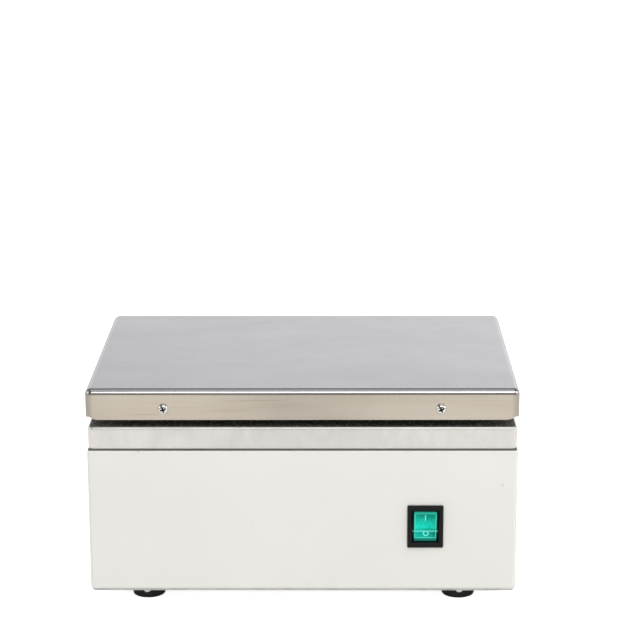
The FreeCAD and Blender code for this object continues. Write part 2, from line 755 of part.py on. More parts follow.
def make_insulation():
    """The fibre pad, cut out round the nuts, terminals and bolt heads."""
    width = f"({TRAY_WIDTH} - 2 * (tray_bend + pad_clearance))"
    depth = "(body_depth - 2 * (cover_screw_length + pad_clearance))"
    thickness = f"({PRESSURE_BOTTOM} - pad_clearance - {TRAY_FLOOR})"
    holes = [(x, y, "stud_washer_diameter + 2 * pad_hole_play") for x, y in STUD_PLACES]
    holes += [(x, y, "bead_flange + 2 * pad_hole_play") for x, y in TERMINAL_PLACES]
    holes += [(x, y, "bolt_head + 2 * pad_hole_play") for x, y in SPACER_PLACES]
    holes.append(("0", "sleeve_y", "sleeve_flange + 2 * pad_hole_play"))
    sheet_with_holes("insulation_pad", TRAY_FLOOR, width, depth, thickness, holes)


def make_tray():
    """The folded tray that carries the pad and takes the cover screws in its walls."""
    piece = Piece("insulation_tray", z=TRAY_BOTTOM)
    plan = piece.sketch()
    rectangle(plan, TRAY_WIDTH, TRAY_DEPTH)
    piece.pad(plan, "tray_wall")
    piece.fillet(upright, "cover_corner - cover_sheet - tray_clearance")
    piece.fillet(level("0"), "tray_bend")
    piece.shell(flat_at("tray_wall"), "tray_sheet")
    wall_holes = piece.sketch("XZ_Plane")
    for side in BOTH_SIDES:
        circle(wall_holes, "small_shank + screw_hole_play", f"{side}{COVER_SCREW_X}",
               "cover_screw_height - tray_recess")
    piece.pocket(wall_holes, both=True)
    floor_holes = piece.sketch(offset="tray_sheet")
    for x, y in SPACER_PLACES:
        circle(floor_holes, "spacer_bolt_diameter + screw_hole_play", x, y)
    circle(floor_holes, "sleeve_diameter + screw_hole_play", "0", "sleeve_y")
    piece.pocket(floor_holes)


def make_air_gap():
    """Spacers, bolts and the ceramic sleeve between the tray and the heat shield."""
    bolt_hole = "spacer_bolt_diameter + screw_hole_play"
    spacer = ring("spacer", "spacer_diameter", bolt_hole, "(air_gap + tray_recess)")
    group("spacers", spacer, [(x, y, SHIELD_TOP, UP) for x, y in SPACER_PLACES])
    bolt = pan_screw("spacer_bolt", "bolt_head", "bolt_head_height", "spacer_bolt_diameter",
                     "spacer_bolt_length")
    group("spacer_bolts", bolt, [(x, y, TRAY_FLOOR, turned(UP, 20)) for x, y in SPACER_PLACES])
    under = f"({SHIELD_TOP} - shield_sheet - spacer_washer_thickness)"
    washer = ring("spacer_washer", "spacer_washer_diameter", bolt_hole, "spacer_washer_thickness")
    group("spacer_washers", washer, [(x, y, under, UP) for x, y in SPACER_PLACES])
    hex_nut = nut("spacer_nut", "spacer_nut_flats", "spacer_bolt_diameter", "spacer_nut_height")
    group("spacer_nuts", hex_nut, [(x, y, f"{under} - spacer_nut_height", UP) for x, y in SPACER_PLACES])

    sleeve = Piece("wire_sleeve", y="sleeve_y", z=TRAY_FLOOR)
    bore, body, flange = "(sleeve_bore / 2)", "(sleeve_diameter / 2)", "(sleeve_flange / 2)"
    reach = f"({TRAY_FLOOR} - {SHIELD_TOP} + shield_sheet + sleeve_tail)"
    sketch = sleeve.sketch("XZ_Plane")
    outline(sketch, [(bore, f"-{reach}"), (body, f"-{reach}"), (body, "0"), (flange, "0"),
                     (flange, "sleeve_flange_height"), (bore, "sleeve_flange_height")])
    sleeve.revolve(sketch)


def fold(piece, width, depth, height, corner, bend, thickness):
    """A closed box of bent sheet, whose openings are cut afterwards."""
    hollow = Piece(f"{piece.body.Name}_hollow", node=False)
    for solid, less in ((piece, "0"), (hollow, thickness)):
        plan = solid.sketch(offset=less)
        rectangle(plan, f"({width} - 2 * {less})", f"({depth} - 2 * {less})")
        solid.pad(plan, f"({height} - 2 * {less})")
        solid.fillet(upright, f"{corner} - {less}")
        solid.fillet(lambda edge: edge.BoundBox.ZLength < TINY, f"{bend} - {less}")
    cut = piece.feature("Boolean")
    cut.Type = "Cut"
    cut.setObjects([hollow.body])
    doc.recompute()


def open_level(piece, width, depth, reach, top, thickness):
    """Opens the fold's top or bottom and leaves a level flange that reaches inwards."""
    sketch = piece.sketch(offset=top)
    rectangle(sketch, f"({width} - 2 * {reach})", f"({depth} - 2 * {reach})")
    piece.pocket(sketch, thickness)


def make_shield():
    """The inverted stainless pan with a return flange at its foot."""
    piece = Piece("heat_shield", z=SHIELD_BOTTOM)
    fold(piece, SHIELD_WIDTH, SHIELD_DEPTH, "shield_height", "shield_corner", "shield_bend", "shield_sheet")
    open_level(piece, SHIELD_WIDTH, SHIELD_DEPTH, "shield_flange", "shield_sheet", "shield_sheet")
    top_holes = piece.sketch(offset="shield_height")
    for x, y in SPACER_PLACES:
        circle(top_holes, "spacer_bolt_diameter + screw_hole_play", x, y)
    circle(top_holes, "sleeve_diameter + screw_hole_play", "0", "sleeve_y")
    piece.pocket(top_holes, "shield_sheet")
    flange_holes = piece.sketch(offset="shield_sheet")
    for x, y in SHIELD_SCREW_PLACES:
        circle(flange_holes, "small_shank", x, y)
    piece.pocket(flange_holes, "shield_sheet")

    screw = pan_screw("shield_screw", "small_head", "small_head_height", "small_shank",
                      "shield_screw_length", pointed=True)
    seat = f"{SHIELD_BOTTOM} - housing_sheet"
    group("shield_screws", screw, [(x, y, seat, turned(DOWN, 25)) for x, y in SHIELD_SCREW_PLACES])


def make_housing():
    """The painted wrapper with flanges at its top and bottom, the switch cut-out and the cord hole."""
    piece = Piece("housing", z=HOUSING_BOTTOM)
    fold(piece, HOUSING_WIDTH, "body_depth", "housing_height", "housing_corner", "housing_bend",
         "housing_sheet")
    for flange, top in (("housing_top_flange", "housing_height"), ("housing_bottom_flange", "housing_sheet")):
        open_level(piece, HOUSING_WIDTH, "body_depth", flange, top, "housing_sheet")
    front = piece.sketch("XZ_Plane", "body_depth / 2")
    rectangle(front, "(switch_body_width + 2 * cutout_play)", "(switch_body_height + 2 * cutout_play)",
              SWITCH_X, f"(switch_height - {HOUSING_BOTTOM})")
    piece.pocket(front, "2 * housing_sheet")
    back = piece.sketch("XZ_Plane", "-body_depth / 2")
    circle(back, "bush_neck", BUSH_X, f"(bush_height - {HOUSING_BOTTOM})")
    piece.pocket(back, "2 * housing_sheet", reverse=True)
    top_holes = piece.sketch(offset="housing_height")
    for x, y in SHIELD_SCREW_PLACES:
        circle(top_holes, "small_shank + screw_hole_play", x, y)
    piece.pocket(top_holes, "housing_sheet")
    foot_holes = piece.sketch(offset="housing_sheet")
    for x, y in BASE_SCREW_PLACES:
        circle(foot_holes, "tapping_shank", x, y)
    piece.pocket(foot_holes, "housing_sheet")


def make_base():
    piece = Piece("base_plate", z="foot_height")
    plan = piece.sketch()
    rectangle(plan, "(body_width - 2 * base_inset)", "(body_depth - 2 * base_inset)")
    for x, y in FOOT_PLACES:
        circle(plan, "small_shank + screw_hole_play", x, y)
    for x, y in BASE_SCREW_PLACES:
        circle(plan, "tapping_shank + screw_hole_play", x, y)
    for side in BOTH_SIDES:
        circle(plan, "tapping_shank", f"({BLOCK_X} {side or '+'} block_mount_reach)", BLOCK_Y)
    piece.pad(plan, "base_sheet")
    half_width = size("body_width / 2 - base_inset")
    piece.fillet(lambda edge: upright(edge) and abs(abs(edge.BoundBox.XMin) - half_width) < TINY,
                 "base_corner")
    slot = piece.sketch(offset="base_sheet")
    start = "(-vent_pitch * (vent_count - 1) / 2)"
    for side in BOTH_SIDES:
        rectangle(slot, "vent_width", "vent_length", start, f"{side}vent_reach")
    first = piece.pocket(slot)
    piece.row([first], "vent_pitch * (vent_count - 1)", "vent_count")

    screw = pan_screw("base_screw", "tapping_head", "tapping_head_height", "tapping_shank",
                      "base_screw_length", pointed=True)
    group("base_screws", screw, [(x, y, "foot_height", turned(DOWN, 40)) for x, y in BASE_SCREW_PLACES])


def make_feet():
    names = ("back_right", "front_right", "back_left", "front_left")
    bore = "((small_shank + screw_hole_play) / 2)"
    recess = "(foot_recess_diameter / 2)"
    for name, (x, y) in zip(names, FOOT_PLACES):
        piece = Piece(f"foot_{name}", x=x, y=y)
        sketch = piece.sketch("XZ_Plane")
        outline(sketch, [(bore, "foot_recess_depth"), (recess, "foot_recess_depth"), (recess, "0"),
                         ("foot_base_diameter / 2", "0"), ("foot_top_diameter / 2", "foot_height"),
                         (bore, "foot_height")])
        piece.revolve(sketch)
        piece.fillet(round_at("0", "foot_base_diameter / 2"), "foot_round")
    washer_bottom = "(foot_recess_depth - foot_washer_thickness)"
    washer = ring("foot_washer", "foot_washer_diameter", "small_shank + screw_hole_play",
                  "foot_washer_thickness")
    group("foot_washers", washer, [(x, y, washer_bottom, UP) for x, y in FOOT_PLACES])
    screw = pan_screw("foot_screw", "small_head", "small_head_height", "small_shank", "foot_screw_length")
    group("foot_screws", screw, [(x, y, washer_bottom, turned(DOWN, 15)) for x, y in FOOT_PLACES])
    hex_nut = nut("foot_nut", "foot_nut_flats", "small_shank", "foot_nut_height")
    group("foot_nuts", hex_nut, [(x, y, HOUSING_BOTTOM, UP) for x, y in FOOT_PLACES])


def make_switch_body():
    """Bezel and body in one moulding, with a cavity for the rocker and snaps above and below."""
    piece = Piece("switch_body", x=SWITCH_X, y=PANEL_Y, z="switch_height")
    bezel = piece.sketch("XZ_Plane")
    rectangle(bezel, "bezel_width", "bezel_height")
    piece.pad(bezel, "bezel_thickness")
    piece.fillet(lambda edge: edge.BoundBox.XLength < TINY and edge.BoundBox.ZLength < TINY, "bezel_corner")
    front = -size("bezel_thickness")
    piece.chamfer(lambda edge: abs(edge.BoundBox.YMax - front) < TINY, "bezel_bevel")
    body = piece.sketch("XZ_Plane")
    rectangle(body, "switch_body_width", "switch_body_height")
    piece.pad(body, "switch_body_depth", reverse=True)
    snap = piece.sketch("YZ_Plane")
    near, far = "(housing_sheet + cutout_play)", "(housing_sheet + snap_length)"
    edge = "switch_body_height / 2"
    outline(snap, [(near, edge), (near, f"{edge} + snap_height"), (far, edge)])
    outline(snap, [(near, f"-{edge}"), (near, f"-{edge} - snap_height"), (far, f"-{edge}")])
    piece.pad(snap, "snap_width", both=True)
    cavity = piece.sketch("XZ_Plane", "bezel_thickness")
    rectangle(cavity, "cavity_width", "cavity_height")
    piece.pocket(cavity, "bezel_thickness + cavity_depth")
    half_width = size("cavity_width / 2") + TINY
    piece.chamfer(lambda edge: abs(edge.BoundBox.YMax - front) < TINY and abs(edge.BoundBox.XMax) < half_width
                  and abs(edge.BoundBox.XMin) < half_width, "cavity_bevel")
    pivot = piece.sketch("YZ_Plane")
    circle(pivot, "pivot_diameter + 2 * pivot_play", "pivot_depth", "0")
    reach = "(pivot_length - rocker_play + 2 * pivot_play)"
    piece.pocket(pivot, f"cavity_width + 2 * {reach}", both=True)
    slots = piece.sketch("XZ_Plane", "-switch_body_depth")
    for x, z in corners_of("blade_reach_x", "blade_reach_z"):
        rectangle(slots, "blade_width", "blade_thickness", x, z)
    piece.pocket(slots, "blade_seat", reverse=True)


def make_rocker():
    """A hollow rocker on two pivot pins, pressed at its lower end. Its face is dished to a crease."""
    piece = Piece("switch_rocker", x=SWITCH_X, y=f"({PANEL_Y} + pivot_depth)", z="switch_height")
    tilt = Rotation(Vector(1, 0, 0), size("rocker_tilt"))
    piece.body.Placement = Placement(piece.body.Placement.Base, tilt)
    piece.body.setExpression("Placement.Rotation.Angle", bound("rocker_tilt"))
    radius = "(cavity_height / 2 - rocker_end_play)"
    width = "(cavity_width - 2 * rocker_play)"
    end = f"sqrt({radius} ^ 2 - rocker_rise ^ 2)"
    back_end = f"sqrt({radius} ^ 2 - rocker_back ^ 2)"
    top = ("-rocker_rise", end)
    crease = ("-rocker_rise + rocker_dish", "-rocker_crease")
    bottom = ("-rocker_rise", f"-{end}")
    back_bottom = ("rocker_back", f"-{back_end}")
    back_top = ("rocker_back", back_end)
    sketch = piece.sketch("YZ_Plane")
    points = [Vector(size(y), size(z), 0) for y, z in (top, crease, bottom, back_bottom, back_top)]
    sketch.addGeometry(Part.LineSegment(points[0], points[1]))
    sketch.addGeometry(Part.LineSegment(points[1], points[2]))
    middle = Vector(0, -size(radius), 0)
    sketch.addGeometry(Part.Arc(points[2], middle, points[3]))
    sketch.addGeometry(Part.LineSegment(points[3], points[4]))
    sketch.addGeometry(Part.Arc(points[4], -middle, points[0]))
    for index in range(5):
        following = (index + 1) % 5
        sketch.addConstraint(Sketcher.Constraint("Coincident", index, 2, following, 1))
    for index, (y, z) in enumerate((top, crease, bottom, back_bottom, back_top)):
        hold(sketch, "DistanceX", index, 1, y)
        hold(sketch, "DistanceY", index, 1, z)
    for index in (2, 4):
        sketch.addConstraint(Sketcher.Constraint("PointOnObject", index, 3, -1))
    piece.pad(sketch, width, both=True)
    front, far = -size("pivot_diameter / 2"), size("2 * rocker_crease")
    piece.fillet(lambda edge: edge.BoundBox.YMax < front and edge.BoundBox.XLength > TINY
                 and abs(edge.BoundBox.Center.z) > far, "rocker_edge_round")
    bevels = piece.sketch()
    deep, clear = "rocker_bevel_depth - rocker_rise", "-rocker_bevel_depth - rocker_rise"
    for side in BOTH_SIDES:
        edge, inner = f"{side}({width} / 2)", f"{side}({width} / 2 - 2 * rocker_side_bevel)"
        outline(bevels, [(edge, deep), (inner, clear), (edge, clear)])
    piece.pocket(bevels, both=True)
    pins = piece.sketch("YZ_Plane")
    circle(pins, "pivot_diameter")
    piece.pad(pins, f"{width} + 2 * pivot_length", both=True)
    hollow = piece.sketch("XZ_Plane", "-rocker_back")
    rectangle(hollow, f"({width} - 2 * rocker_wall)", f"(2 * ({back_end} - rocker_wall))")
    piece.pocket(hollow, "rocker_back + rocker_rise - rocker_dish - rocker_wall", reverse=True)


def make_switch_inside():
    floor = f"({PANEL_Y} + cavity_depth)"
    lamp = Piece("switch_lamp", x=SWITCH_X, y=f"{floor} - lamp_diameter / 2", z="switch_height")
    tube = lamp.sketch("YZ_Plane")
    circle(tube, "lamp_diameter")
    lamp.pad(tube, "lamp_length", both=True)
    lamp.fillet(lambda edge: edge.BoundBox.XLength < TINY, "lamp_diameter / 2.5")

    blade = Piece("blade", node=False)
    sketch = blade.sketch("XZ_Plane")
    rectangle(sketch, "blade_width", "blade_thickness")
    blade.pad(sketch, "blade_seat + blade_length", reverse=True)
    eye = blade.sketch("XY_Plane", "blade_thickness / 2")
    circle(eye, "blade_width / 3", "0", "blade_seat + blade_length * 0.6")
    blade.pocket(eye)
    tip = size("blade_seat + blade_length")
    blade.chamfer(lambda edge: upright(edge) and abs(edge.BoundBox.YMax - tip) < TINY, "blade_width / 5")
    seat = f"({PANEL_Y} + switch_body_depth - blade_seat)"
    places = [(f"({SWITCH_X} {x})", seat, f"(switch_height {z})", UP)
              for x, z in (("+ blade_reach_x", "+ blade_reach_z"), ("- blade_reach_x", "+ blade_reach_z"),
                           ("+ blade_reach_x", "- blade_reach_z"), ("- blade_reach_x", "- blade_reach_z"))]
    group("switch_terminals", blade, places)


def make_cord_bush():
    """A rubber bush that grips the edge of the back wall's hole."""
    piece = Piece("cord_bush", x=BUSH_X, y="body_depth / 2", z="bush_height")
    piece.body.Placement = Placement(piece.body.Placement.Base, TO_BACK)
    bore, neck, flange = "(bush_bore / 2)", "(bush_neck / 2)", "(bush_flange / 2)"
    inside = "-housing_sheet"
    sketch = piece.sketch("XZ_Plane")
    outline(sketch, [(bore, f"{inside} - bush_flange_length"), (flange, f"{inside} - bush_flange_length"),
                     (flange, inside), (neck, inside), (neck, "0"), (flange, "0"),
                     (f"{flange} - bush_collar_length / 3", "bush_collar_length"),
                     (bore, "bush_collar_length")])
    piece.revolve(sketch)


def make_terminal_block():
    piece = Piece("terminal_block", x=BLOCK_X, y=BLOCK_Y, z=HOUSING_BOTTOM)
    plan = piece.sketch()
    rectangle(plan, "block_width", "block_depth")
    for side in BOTH_SIDES:
        circle(plan, "tapping_shank + screw_hole_play", f"{side}block_mount_reach", "0")
    piece.pad(plan, "block_height")
    ways = ("-block_pitch", "0", "block_pitch")
    wires = piece.sketch("XZ_Plane")
    for x in ways:
        circle(wires, "block_wire_hole", x, "block_wire_height")
    piece.pocket(wires, both=True)
    screws = piece.sketch(offset="block_height")
    for x in ways:
        for side in BOTH_SIDES:
            circle(screws, "block_screw_hole", x, f"{side}block_screw_reach")
    piece.pocket(screws, "block_height - block_wire_height")

    clamp = rod("clamp_screw", "block_screw_hole - 2 * pivot_play", "block_screw_length")
    clamp_top = f"{BLOCK_TOP} - pad_clearance"
    places = [(f"({BLOCK_X} + {x})", f"({BLOCK_Y} {side or '+'} block_screw_reach)", clamp_top, UP)
              for x in ways for side in BOTH_SIDES]
    group("block_clamp_screws", clamp, places)
    screw = pan_screw("block_screw", "tapping_head", "tapping_head_height", "tapping_shank",
                      "block_height + base_sheet + tip_length", pointed=True)
    group("block_mounting_screws", screw,
          [(f"({BLOCK_X} {side or '+'} block_mount_reach)", BLOCK_Y, BLOCK_TOP, UP) for side in BOTH_SIDES])


def make_earth():
    stud = rod("earth_rod", "small_shank", "earth_stud_height")
    group("earth_stud", stud, [(EARTH_X, BLOCK_Y, f"{HOUSING_BOTTOM} + earth_stud_height", UP)])
    hex_nut = nut("earth_hex", "foot_nut_flats", "small_shank", "foot_nut_height")
    group("earth_nut", hex_nut, [(EARTH_X, BLOCK_Y, HOUSING_BOTTOM, UP)])


def make_wiring():
    """The mains pair to the switch, the heater leads up to the sleeve, and the earth lead with its lug."""
    deep = f"({BLOCK_FRONT} + lead_seat)"
    turn_y = f"({BLADE_TIP_Y} + lead_turn)"
    floor = f"({HOUSING_BOTTOM} + lead_floor)"
    for name, way, side in (("line", "- block_pitch", "-"), ("neutral", "+ 0", "+")):
        way_x, blade_x = f"({BLOCK_X} {way})", f"({SWITCH_X} {side} blade_reach_x)"
        blade_z = "(switch_height - blade_reach_z)"
        bent_wire(f"{name}_lead", [
            (way_x, deep, WIRE_LEVEL), (way_x, f"{BLOCK_FRONT} - lead_side", WIRE_LEVEL),
            (blade_x, f"{turn_y} + lead_side", floor), (blade_x, turn_y, floor),
            (blade_x, turn_y, blade_z), (blade_x, BLADE_TIP_Y, blade_z)])

    ceiling = f"({SHIELD_TOP} - shield_sheet - sleeve_tail - lead_ceiling)"
    sleeve_top = f"({TRAY_FLOOR} + sleeve_flange_height)"
    for name, side in (("left", "-"), ("right", "+")):
        blade_x, lead_x = f"({SWITCH_X} {side} blade_reach_x)", f"(0 {side} lead_spacing)"
        blade_z = "(switch_height + blade_reach_z)"
        bent_wire(f"heater_lead_{name}", [
            (blade_x, BLADE_TIP_Y, blade_z), (blade_x, turn_y, blade_z), (blade_x, turn_y, ceiling),
            (f"{blade_x} - lead_side", f"{turn_y} + lead_side", ceiling),
            (lead_x, "sleeve_y", ceiling), (lead_x, "sleeve_y", sleeve_top)])

    lug = ring("earth_ring", "lug_diameter", "small_shank", "lug_thickness")
    lug_level = f"({HOUSING_BOTTOM} + foot_nut_height)"
    group("earth_lug", lug, [(EARTH_X, BLOCK_Y, lug_level, UP)])
    way_x, turn_y = f"({BLOCK_X} + block_pitch)", f"({BLOCK_FRONT} - lead_side)"
    lead_level = f"({lug_level} + lug_thickness / 2)"
    bent_wire("earth_lead", [
        (way_x, deep, WIRE_LEVEL), (way_x, turn_y, WIRE_LEVEL),
        (EARTH_X, turn_y, lead_level), (EARTH_X, f"{BLOCK_Y} - lug_diameter / 2", lead_level)])


def check_and_write():
    """Refuses a failed object, then writes each node's shape."""
    doc.recompute()
    for item in doc.Objects:
        if "Invalid" in item.State or "Error" in item.State:
            raise ValueError(f"{item.Name} failed: {item.State}")
    os.makedirs("parts", exist_ok=True)
    for node in nodes:
        shape = node.Shape
        if shape.isNull() or not shape.isValid() or not shape.Solids:
            raise ValueError(f"{node.Label} has no valid shape")
        shape.exportStep(f"parts/{node.Label}.step")
        print(f"{node.Label}: {len(shape.Solids)} solids, {shape.Volume:.1f} mm3")


make_cover()
make_cover_fixings()
make_heater()
make_terminals()
make_insulation()
make_tray()
make_air_gap()
make_shield()
make_housing()
make_base()
make_feet()
make_switch_body()
make_rocker()
make_switch_inside()
make_cord_bush()
make_terminal_block()
make_earth()
make_wiring()
check_and_write()
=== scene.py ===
"""Looks of the laboratory hot plate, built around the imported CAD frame.

Lengths are in metres, +Z is up and the front faces -Y.
"""

import json
import math
from collections import namedtuple

import bmesh
import bpy
from mathutils import Matrix, Vector


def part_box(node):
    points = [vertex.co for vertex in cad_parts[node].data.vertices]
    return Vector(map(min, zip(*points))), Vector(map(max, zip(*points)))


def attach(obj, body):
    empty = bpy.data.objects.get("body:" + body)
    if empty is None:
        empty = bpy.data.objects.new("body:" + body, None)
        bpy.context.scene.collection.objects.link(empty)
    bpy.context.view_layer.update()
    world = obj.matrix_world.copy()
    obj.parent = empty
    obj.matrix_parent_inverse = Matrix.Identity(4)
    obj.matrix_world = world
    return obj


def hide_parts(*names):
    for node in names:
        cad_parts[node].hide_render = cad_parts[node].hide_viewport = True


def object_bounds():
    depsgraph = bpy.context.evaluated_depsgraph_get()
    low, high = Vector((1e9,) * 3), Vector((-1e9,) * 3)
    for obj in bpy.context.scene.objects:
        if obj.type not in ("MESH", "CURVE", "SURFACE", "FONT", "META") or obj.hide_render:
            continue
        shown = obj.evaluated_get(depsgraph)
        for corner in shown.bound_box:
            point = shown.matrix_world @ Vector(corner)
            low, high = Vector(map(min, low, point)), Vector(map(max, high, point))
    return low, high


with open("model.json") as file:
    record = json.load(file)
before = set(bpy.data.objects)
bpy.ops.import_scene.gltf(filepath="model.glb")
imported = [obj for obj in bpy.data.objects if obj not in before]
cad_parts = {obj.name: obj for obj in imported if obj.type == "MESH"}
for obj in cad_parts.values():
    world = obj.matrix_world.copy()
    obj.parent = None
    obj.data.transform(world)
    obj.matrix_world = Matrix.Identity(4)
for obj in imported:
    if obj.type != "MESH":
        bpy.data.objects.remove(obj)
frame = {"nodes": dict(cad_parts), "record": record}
cad_low, cad_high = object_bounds()
nodes = frame["nodes"]

MM = 0.001

# The photograph's camera: where it stands, how it is turned, its focal length in pixels of the photograph,
# and how far it sees
CAMERA_PLACE = Vector((23.6, -1531.5, 583.2)) * MM
CAMERA_PITCH = math.radians(-14.575)
CAMERA_YAW = math.radians(0.740)
CAMERA_ROLL = math.radians(-0.241)
CAMERA_REACH = 50.0
SENSOR = 36.0
PICTURE_HEIGHT = 640
FOCAL_PIXELS = 2091.1

# Light levels of the studio, where 1 is white
WHITE = (1.0, 1.0, 1.0, 1.0)
SKY_LIGHT = 0.50
FLOOR_GLOW = 0.86
FLOOR_MIRRORED = 0.12
FLOOR_COLOUR = (0.86, 0.85, 0.83, 1.0)
FLOOR_SIZE = 8.0
# Stops of the mirrored studio, each a share of 0 to 1: its brightness by height, towards the front, and
# from the right (0) to the left (1)
WALL_BY_HEIGHT = ((0.18, 1.0), (0.30, 0.85), (0.45, 0.31), (0.62, 0.20), (0.82, 0.22), (0.95, 0.42),
                  (0.985, 0.80))
WALL_BY_FRONT = ((0.05, 1.0), (0.35, 0.60), (0.80, 0.50), (0.93, 0.22))
WALL_BY_SIDE = ((0.10, 0.80), (0.45, 1.0), (0.56, 0.88), (0.90, 0.70))
WALL_STRENGTH = 1.11
# The middle of the object, which the lamps are aimed at
LAMP_AIM = (0.0, 0.0, 0.1)

# The cover's highest corner and the shield's levels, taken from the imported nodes, and the cover's bend
COVER_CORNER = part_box("top_cover")[1]
COVER_BEND = 4.2 * MM
SHIELD_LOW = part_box("heat_shield")[0].z
SHIELD_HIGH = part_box("heat_shield")[1].z
# Painted reflection: the skirt and band brightness from the left end (0) to the right (1)
SKIRT_REFLECTION_BY_SIDE = ((0.0, 0.94), (0.08, 1.0), (0.26, 0.99), (0.38, 0.90), (0.45, 0.80), (0.56, 0.82),
                 (0.70, 0.92), (0.85, 0.96))
BAND_REFLECTION_BY_SIDE = ((0.0, 1.0), (0.08, 1.0), (0.20, 0.98), (0.38, 0.92), (0.56, 0.91), (0.72, 0.95),
                (1.0, 0.955))

# The range that most values of a noise texture lie in
NOISE_LOW = 0.3
NOISE_HIGH = 0.7

# The rocker's marks and painted highlights: places are across and up from its pivot, as seen from the front
HINGE = next(joint for joint in frame["record"]["behaviour"]["joints"] if joint["name"] == "rocker_hinge")
PIVOT = Vector(HINGE["pos_m"])
MARK_RISE = 0.05 * MM
MARK_SINK = 0.2 * MM
ON_MARK = {"low": 5.15 * MM, "high": 9.85 * MM, "width": 0.8 * MM}
OFF_MARK = {"across": 0.4 * MM, "height": -5.55 * MM, "diameter": 4.3 * MM, "line": 0.95 * MM}
OFF_STEPS = 48
OUTLINE_REACH = 7.9 * MM
OUTLINE_WIDTH = 0.6 * MM
OUTLINE_TOP = 10.4 * MM
OUTLINE_BOTTOM = -9.2 * MM
CREASE_WIDTH = 0.8 * MM
CREASE_HEIGHT = -3.71 * MM
# Painted light and shade on the rocker, outline's bottom (0) to top (1), and the painted reflection its ends
# add
LENS_SHADING_BY_HEIGHT = ((0.0, 0.50), (0.18, 0.24), (0.30, 0.35), (0.46, 0.87), (0.70, 0.54), (0.94, 0.05))
LENS_LEFT_REFLECTION = 0.12
LENS_RIGHT_REFLECTION = -0.28
# A face of the rocker looks to the front where the Y of its normal is below this
FRONT_NORMAL = -0.9

# The screws that get real heads: their sizes, and the turn of each one's cross in degrees
SCREWS = {
    "cover_screws": {"head": 7.5 * MM, "height": 2.9 * MM, "shank": 4.0 * MM, "turns": (13, 40, 23, 70)},
    "base_screws": {"head": 5.6 * MM, "height": 2.4 * MM, "shank": 2.9 * MM,
                    "turns": (20, 55, 80, 10, 35, 65), "pointed": True},
    "foot_screws": {"head": 7.8 * MM, "height": 2.9 * MM, "shank": 4.0 * MM, "turns": (15, 50, 75, 30)},
}
# A screw lies along Y where its solid is longer that way than any other by this factor
LONGER = 1.02
HEAD_STEPS = 40
DOME_STEPS = 10
# A pan head: the radius of its seat as a share of its diameter, then the tops of its chamfer and of its
# straight rim as shares of its height, and the exponents that make its dome squarer than half an ellipse
HEAD_SEAT = 0.485
HEAD_CHAMFER = 0.06
HEAD_RIM = 0.28
DOME_WIDTH_POWER = 0.62
DOME_HEIGHT_POWER = 1.25
# A screw's tip, as shares of its shank
POINTED_TIP = {"radius": 0.14, "length": 0.9}
BLUNT_TIP = {"radius": 0.4, "length": 0.1}
# The cross recess from above the head to its floor: its height as a share of the head's height, then the
# reach and half the width of its arms as shares of the head's diameter
RECESS_LEVELS = ((1.3, 0.31, 0.085), (0.75, 0.26, 0.072), (0.25, 0.12, 0.05))
# An edge that turns by more than this stays sharp
SHARP_ANGLE = math.radians(32)

# Small metal pieces: the two screen colours that their clouds go between, and their roughness
METALS = {
    "zinc_sheet": {"first": (206, 207, 205), "second": (178, 180, 180), "roughness": 0.38},
    "bright_screws": {"first": (236, 235, 233), "second": (222, 220, 217), "roughness": 0.12},
    # Painted shade: the dark colour of the screws' cross recesses
    "screw_recess_shade": {"first": (40, 37, 34), "second": (22, 20, 19), "roughness": 0.5},
    "zinc_fasteners": {"first": (236, 240, 244), "second": (208, 211, 214), "roughness": 0.22,
                       "metallic": 0.6},
    "resistance_ribbon": {"first": (150, 146, 140), "second": (118, 112, 106), "roughness": 0.35},
    "brass": {"first": (214, 178, 104), "second": (190, 152, 84), "roughness": 0.25},
    "tinned": {"first": (214, 214, 210), "second": (190, 190, 186), "roughness": 0.3},
}
# Pieces of rubber, plastic, glass, ceramic, mica and fibre: the same, and the depth and scale of their skin
# and their gloss where these aren't the usual ones
MOULDINGS = {
    "foot_rubber": {"first": (12, 12, 12), "second": (22, 22, 21), "roughness": 0.6, "depth": 0.01 * MM,
                    "gloss": 0.4},
    "bush_rubber": {"first": (26, 26, 26), "second": (36, 36, 36), "roughness": 0.5, "depth": 0.01 * MM},
    "switch_black": {"first": (12, 14, 13), "second": (17, 19, 18), "roughness": 0.42, "gloss": 0.22},
    "lamp_glass": {"first": (205, 225, 214), "second": (190, 214, 204), "roughness": 0.08},
    "mica": {"first": (190, 178, 152), "second": (168, 152, 122), "roughness": 0.35, "depth": 0.01 * MM,
             "scale": 500.0},
    "white_ceramic": {"first": (236, 232, 222), "second": (226, 220, 208), "roughness": 0.55,
                      "depth": 0.01 * MM, "scale": 700.0},
    "block_ceramic": {"first": (240, 238, 232), "second": (230, 227, 220), "roughness": 0.15,
                      "depth": 0.004 * MM, "scale": 300.0},
    "lead_blue": {"first": (40, 82, 150), "second": (34, 70, 132), "roughness": 0.45},
    "lead_brown": {"first": (104, 66, 40), "second": (88, 56, 34), "roughness": 0.45},
    "lead_green_yellow": {"first": (88, 140, 54), "second": (76, 124, 48), "roughness": 0.45},
    "lead_glass": {"first": (232, 229, 220), "second": (214, 210, 200), "roughness": 0.8, "depth": 0.06 * MM,
                   "scale": 900.0},
    "fibre": {"first": (236, 233, 224), "second": (222, 218, 206), "roughness": 0.9, "depth": 0.2 * MM,
              "scale": 420.0},
}

# A flat face: a point on it, its outward normal and half its width
Face = namedtuple("Face", "point out reach")


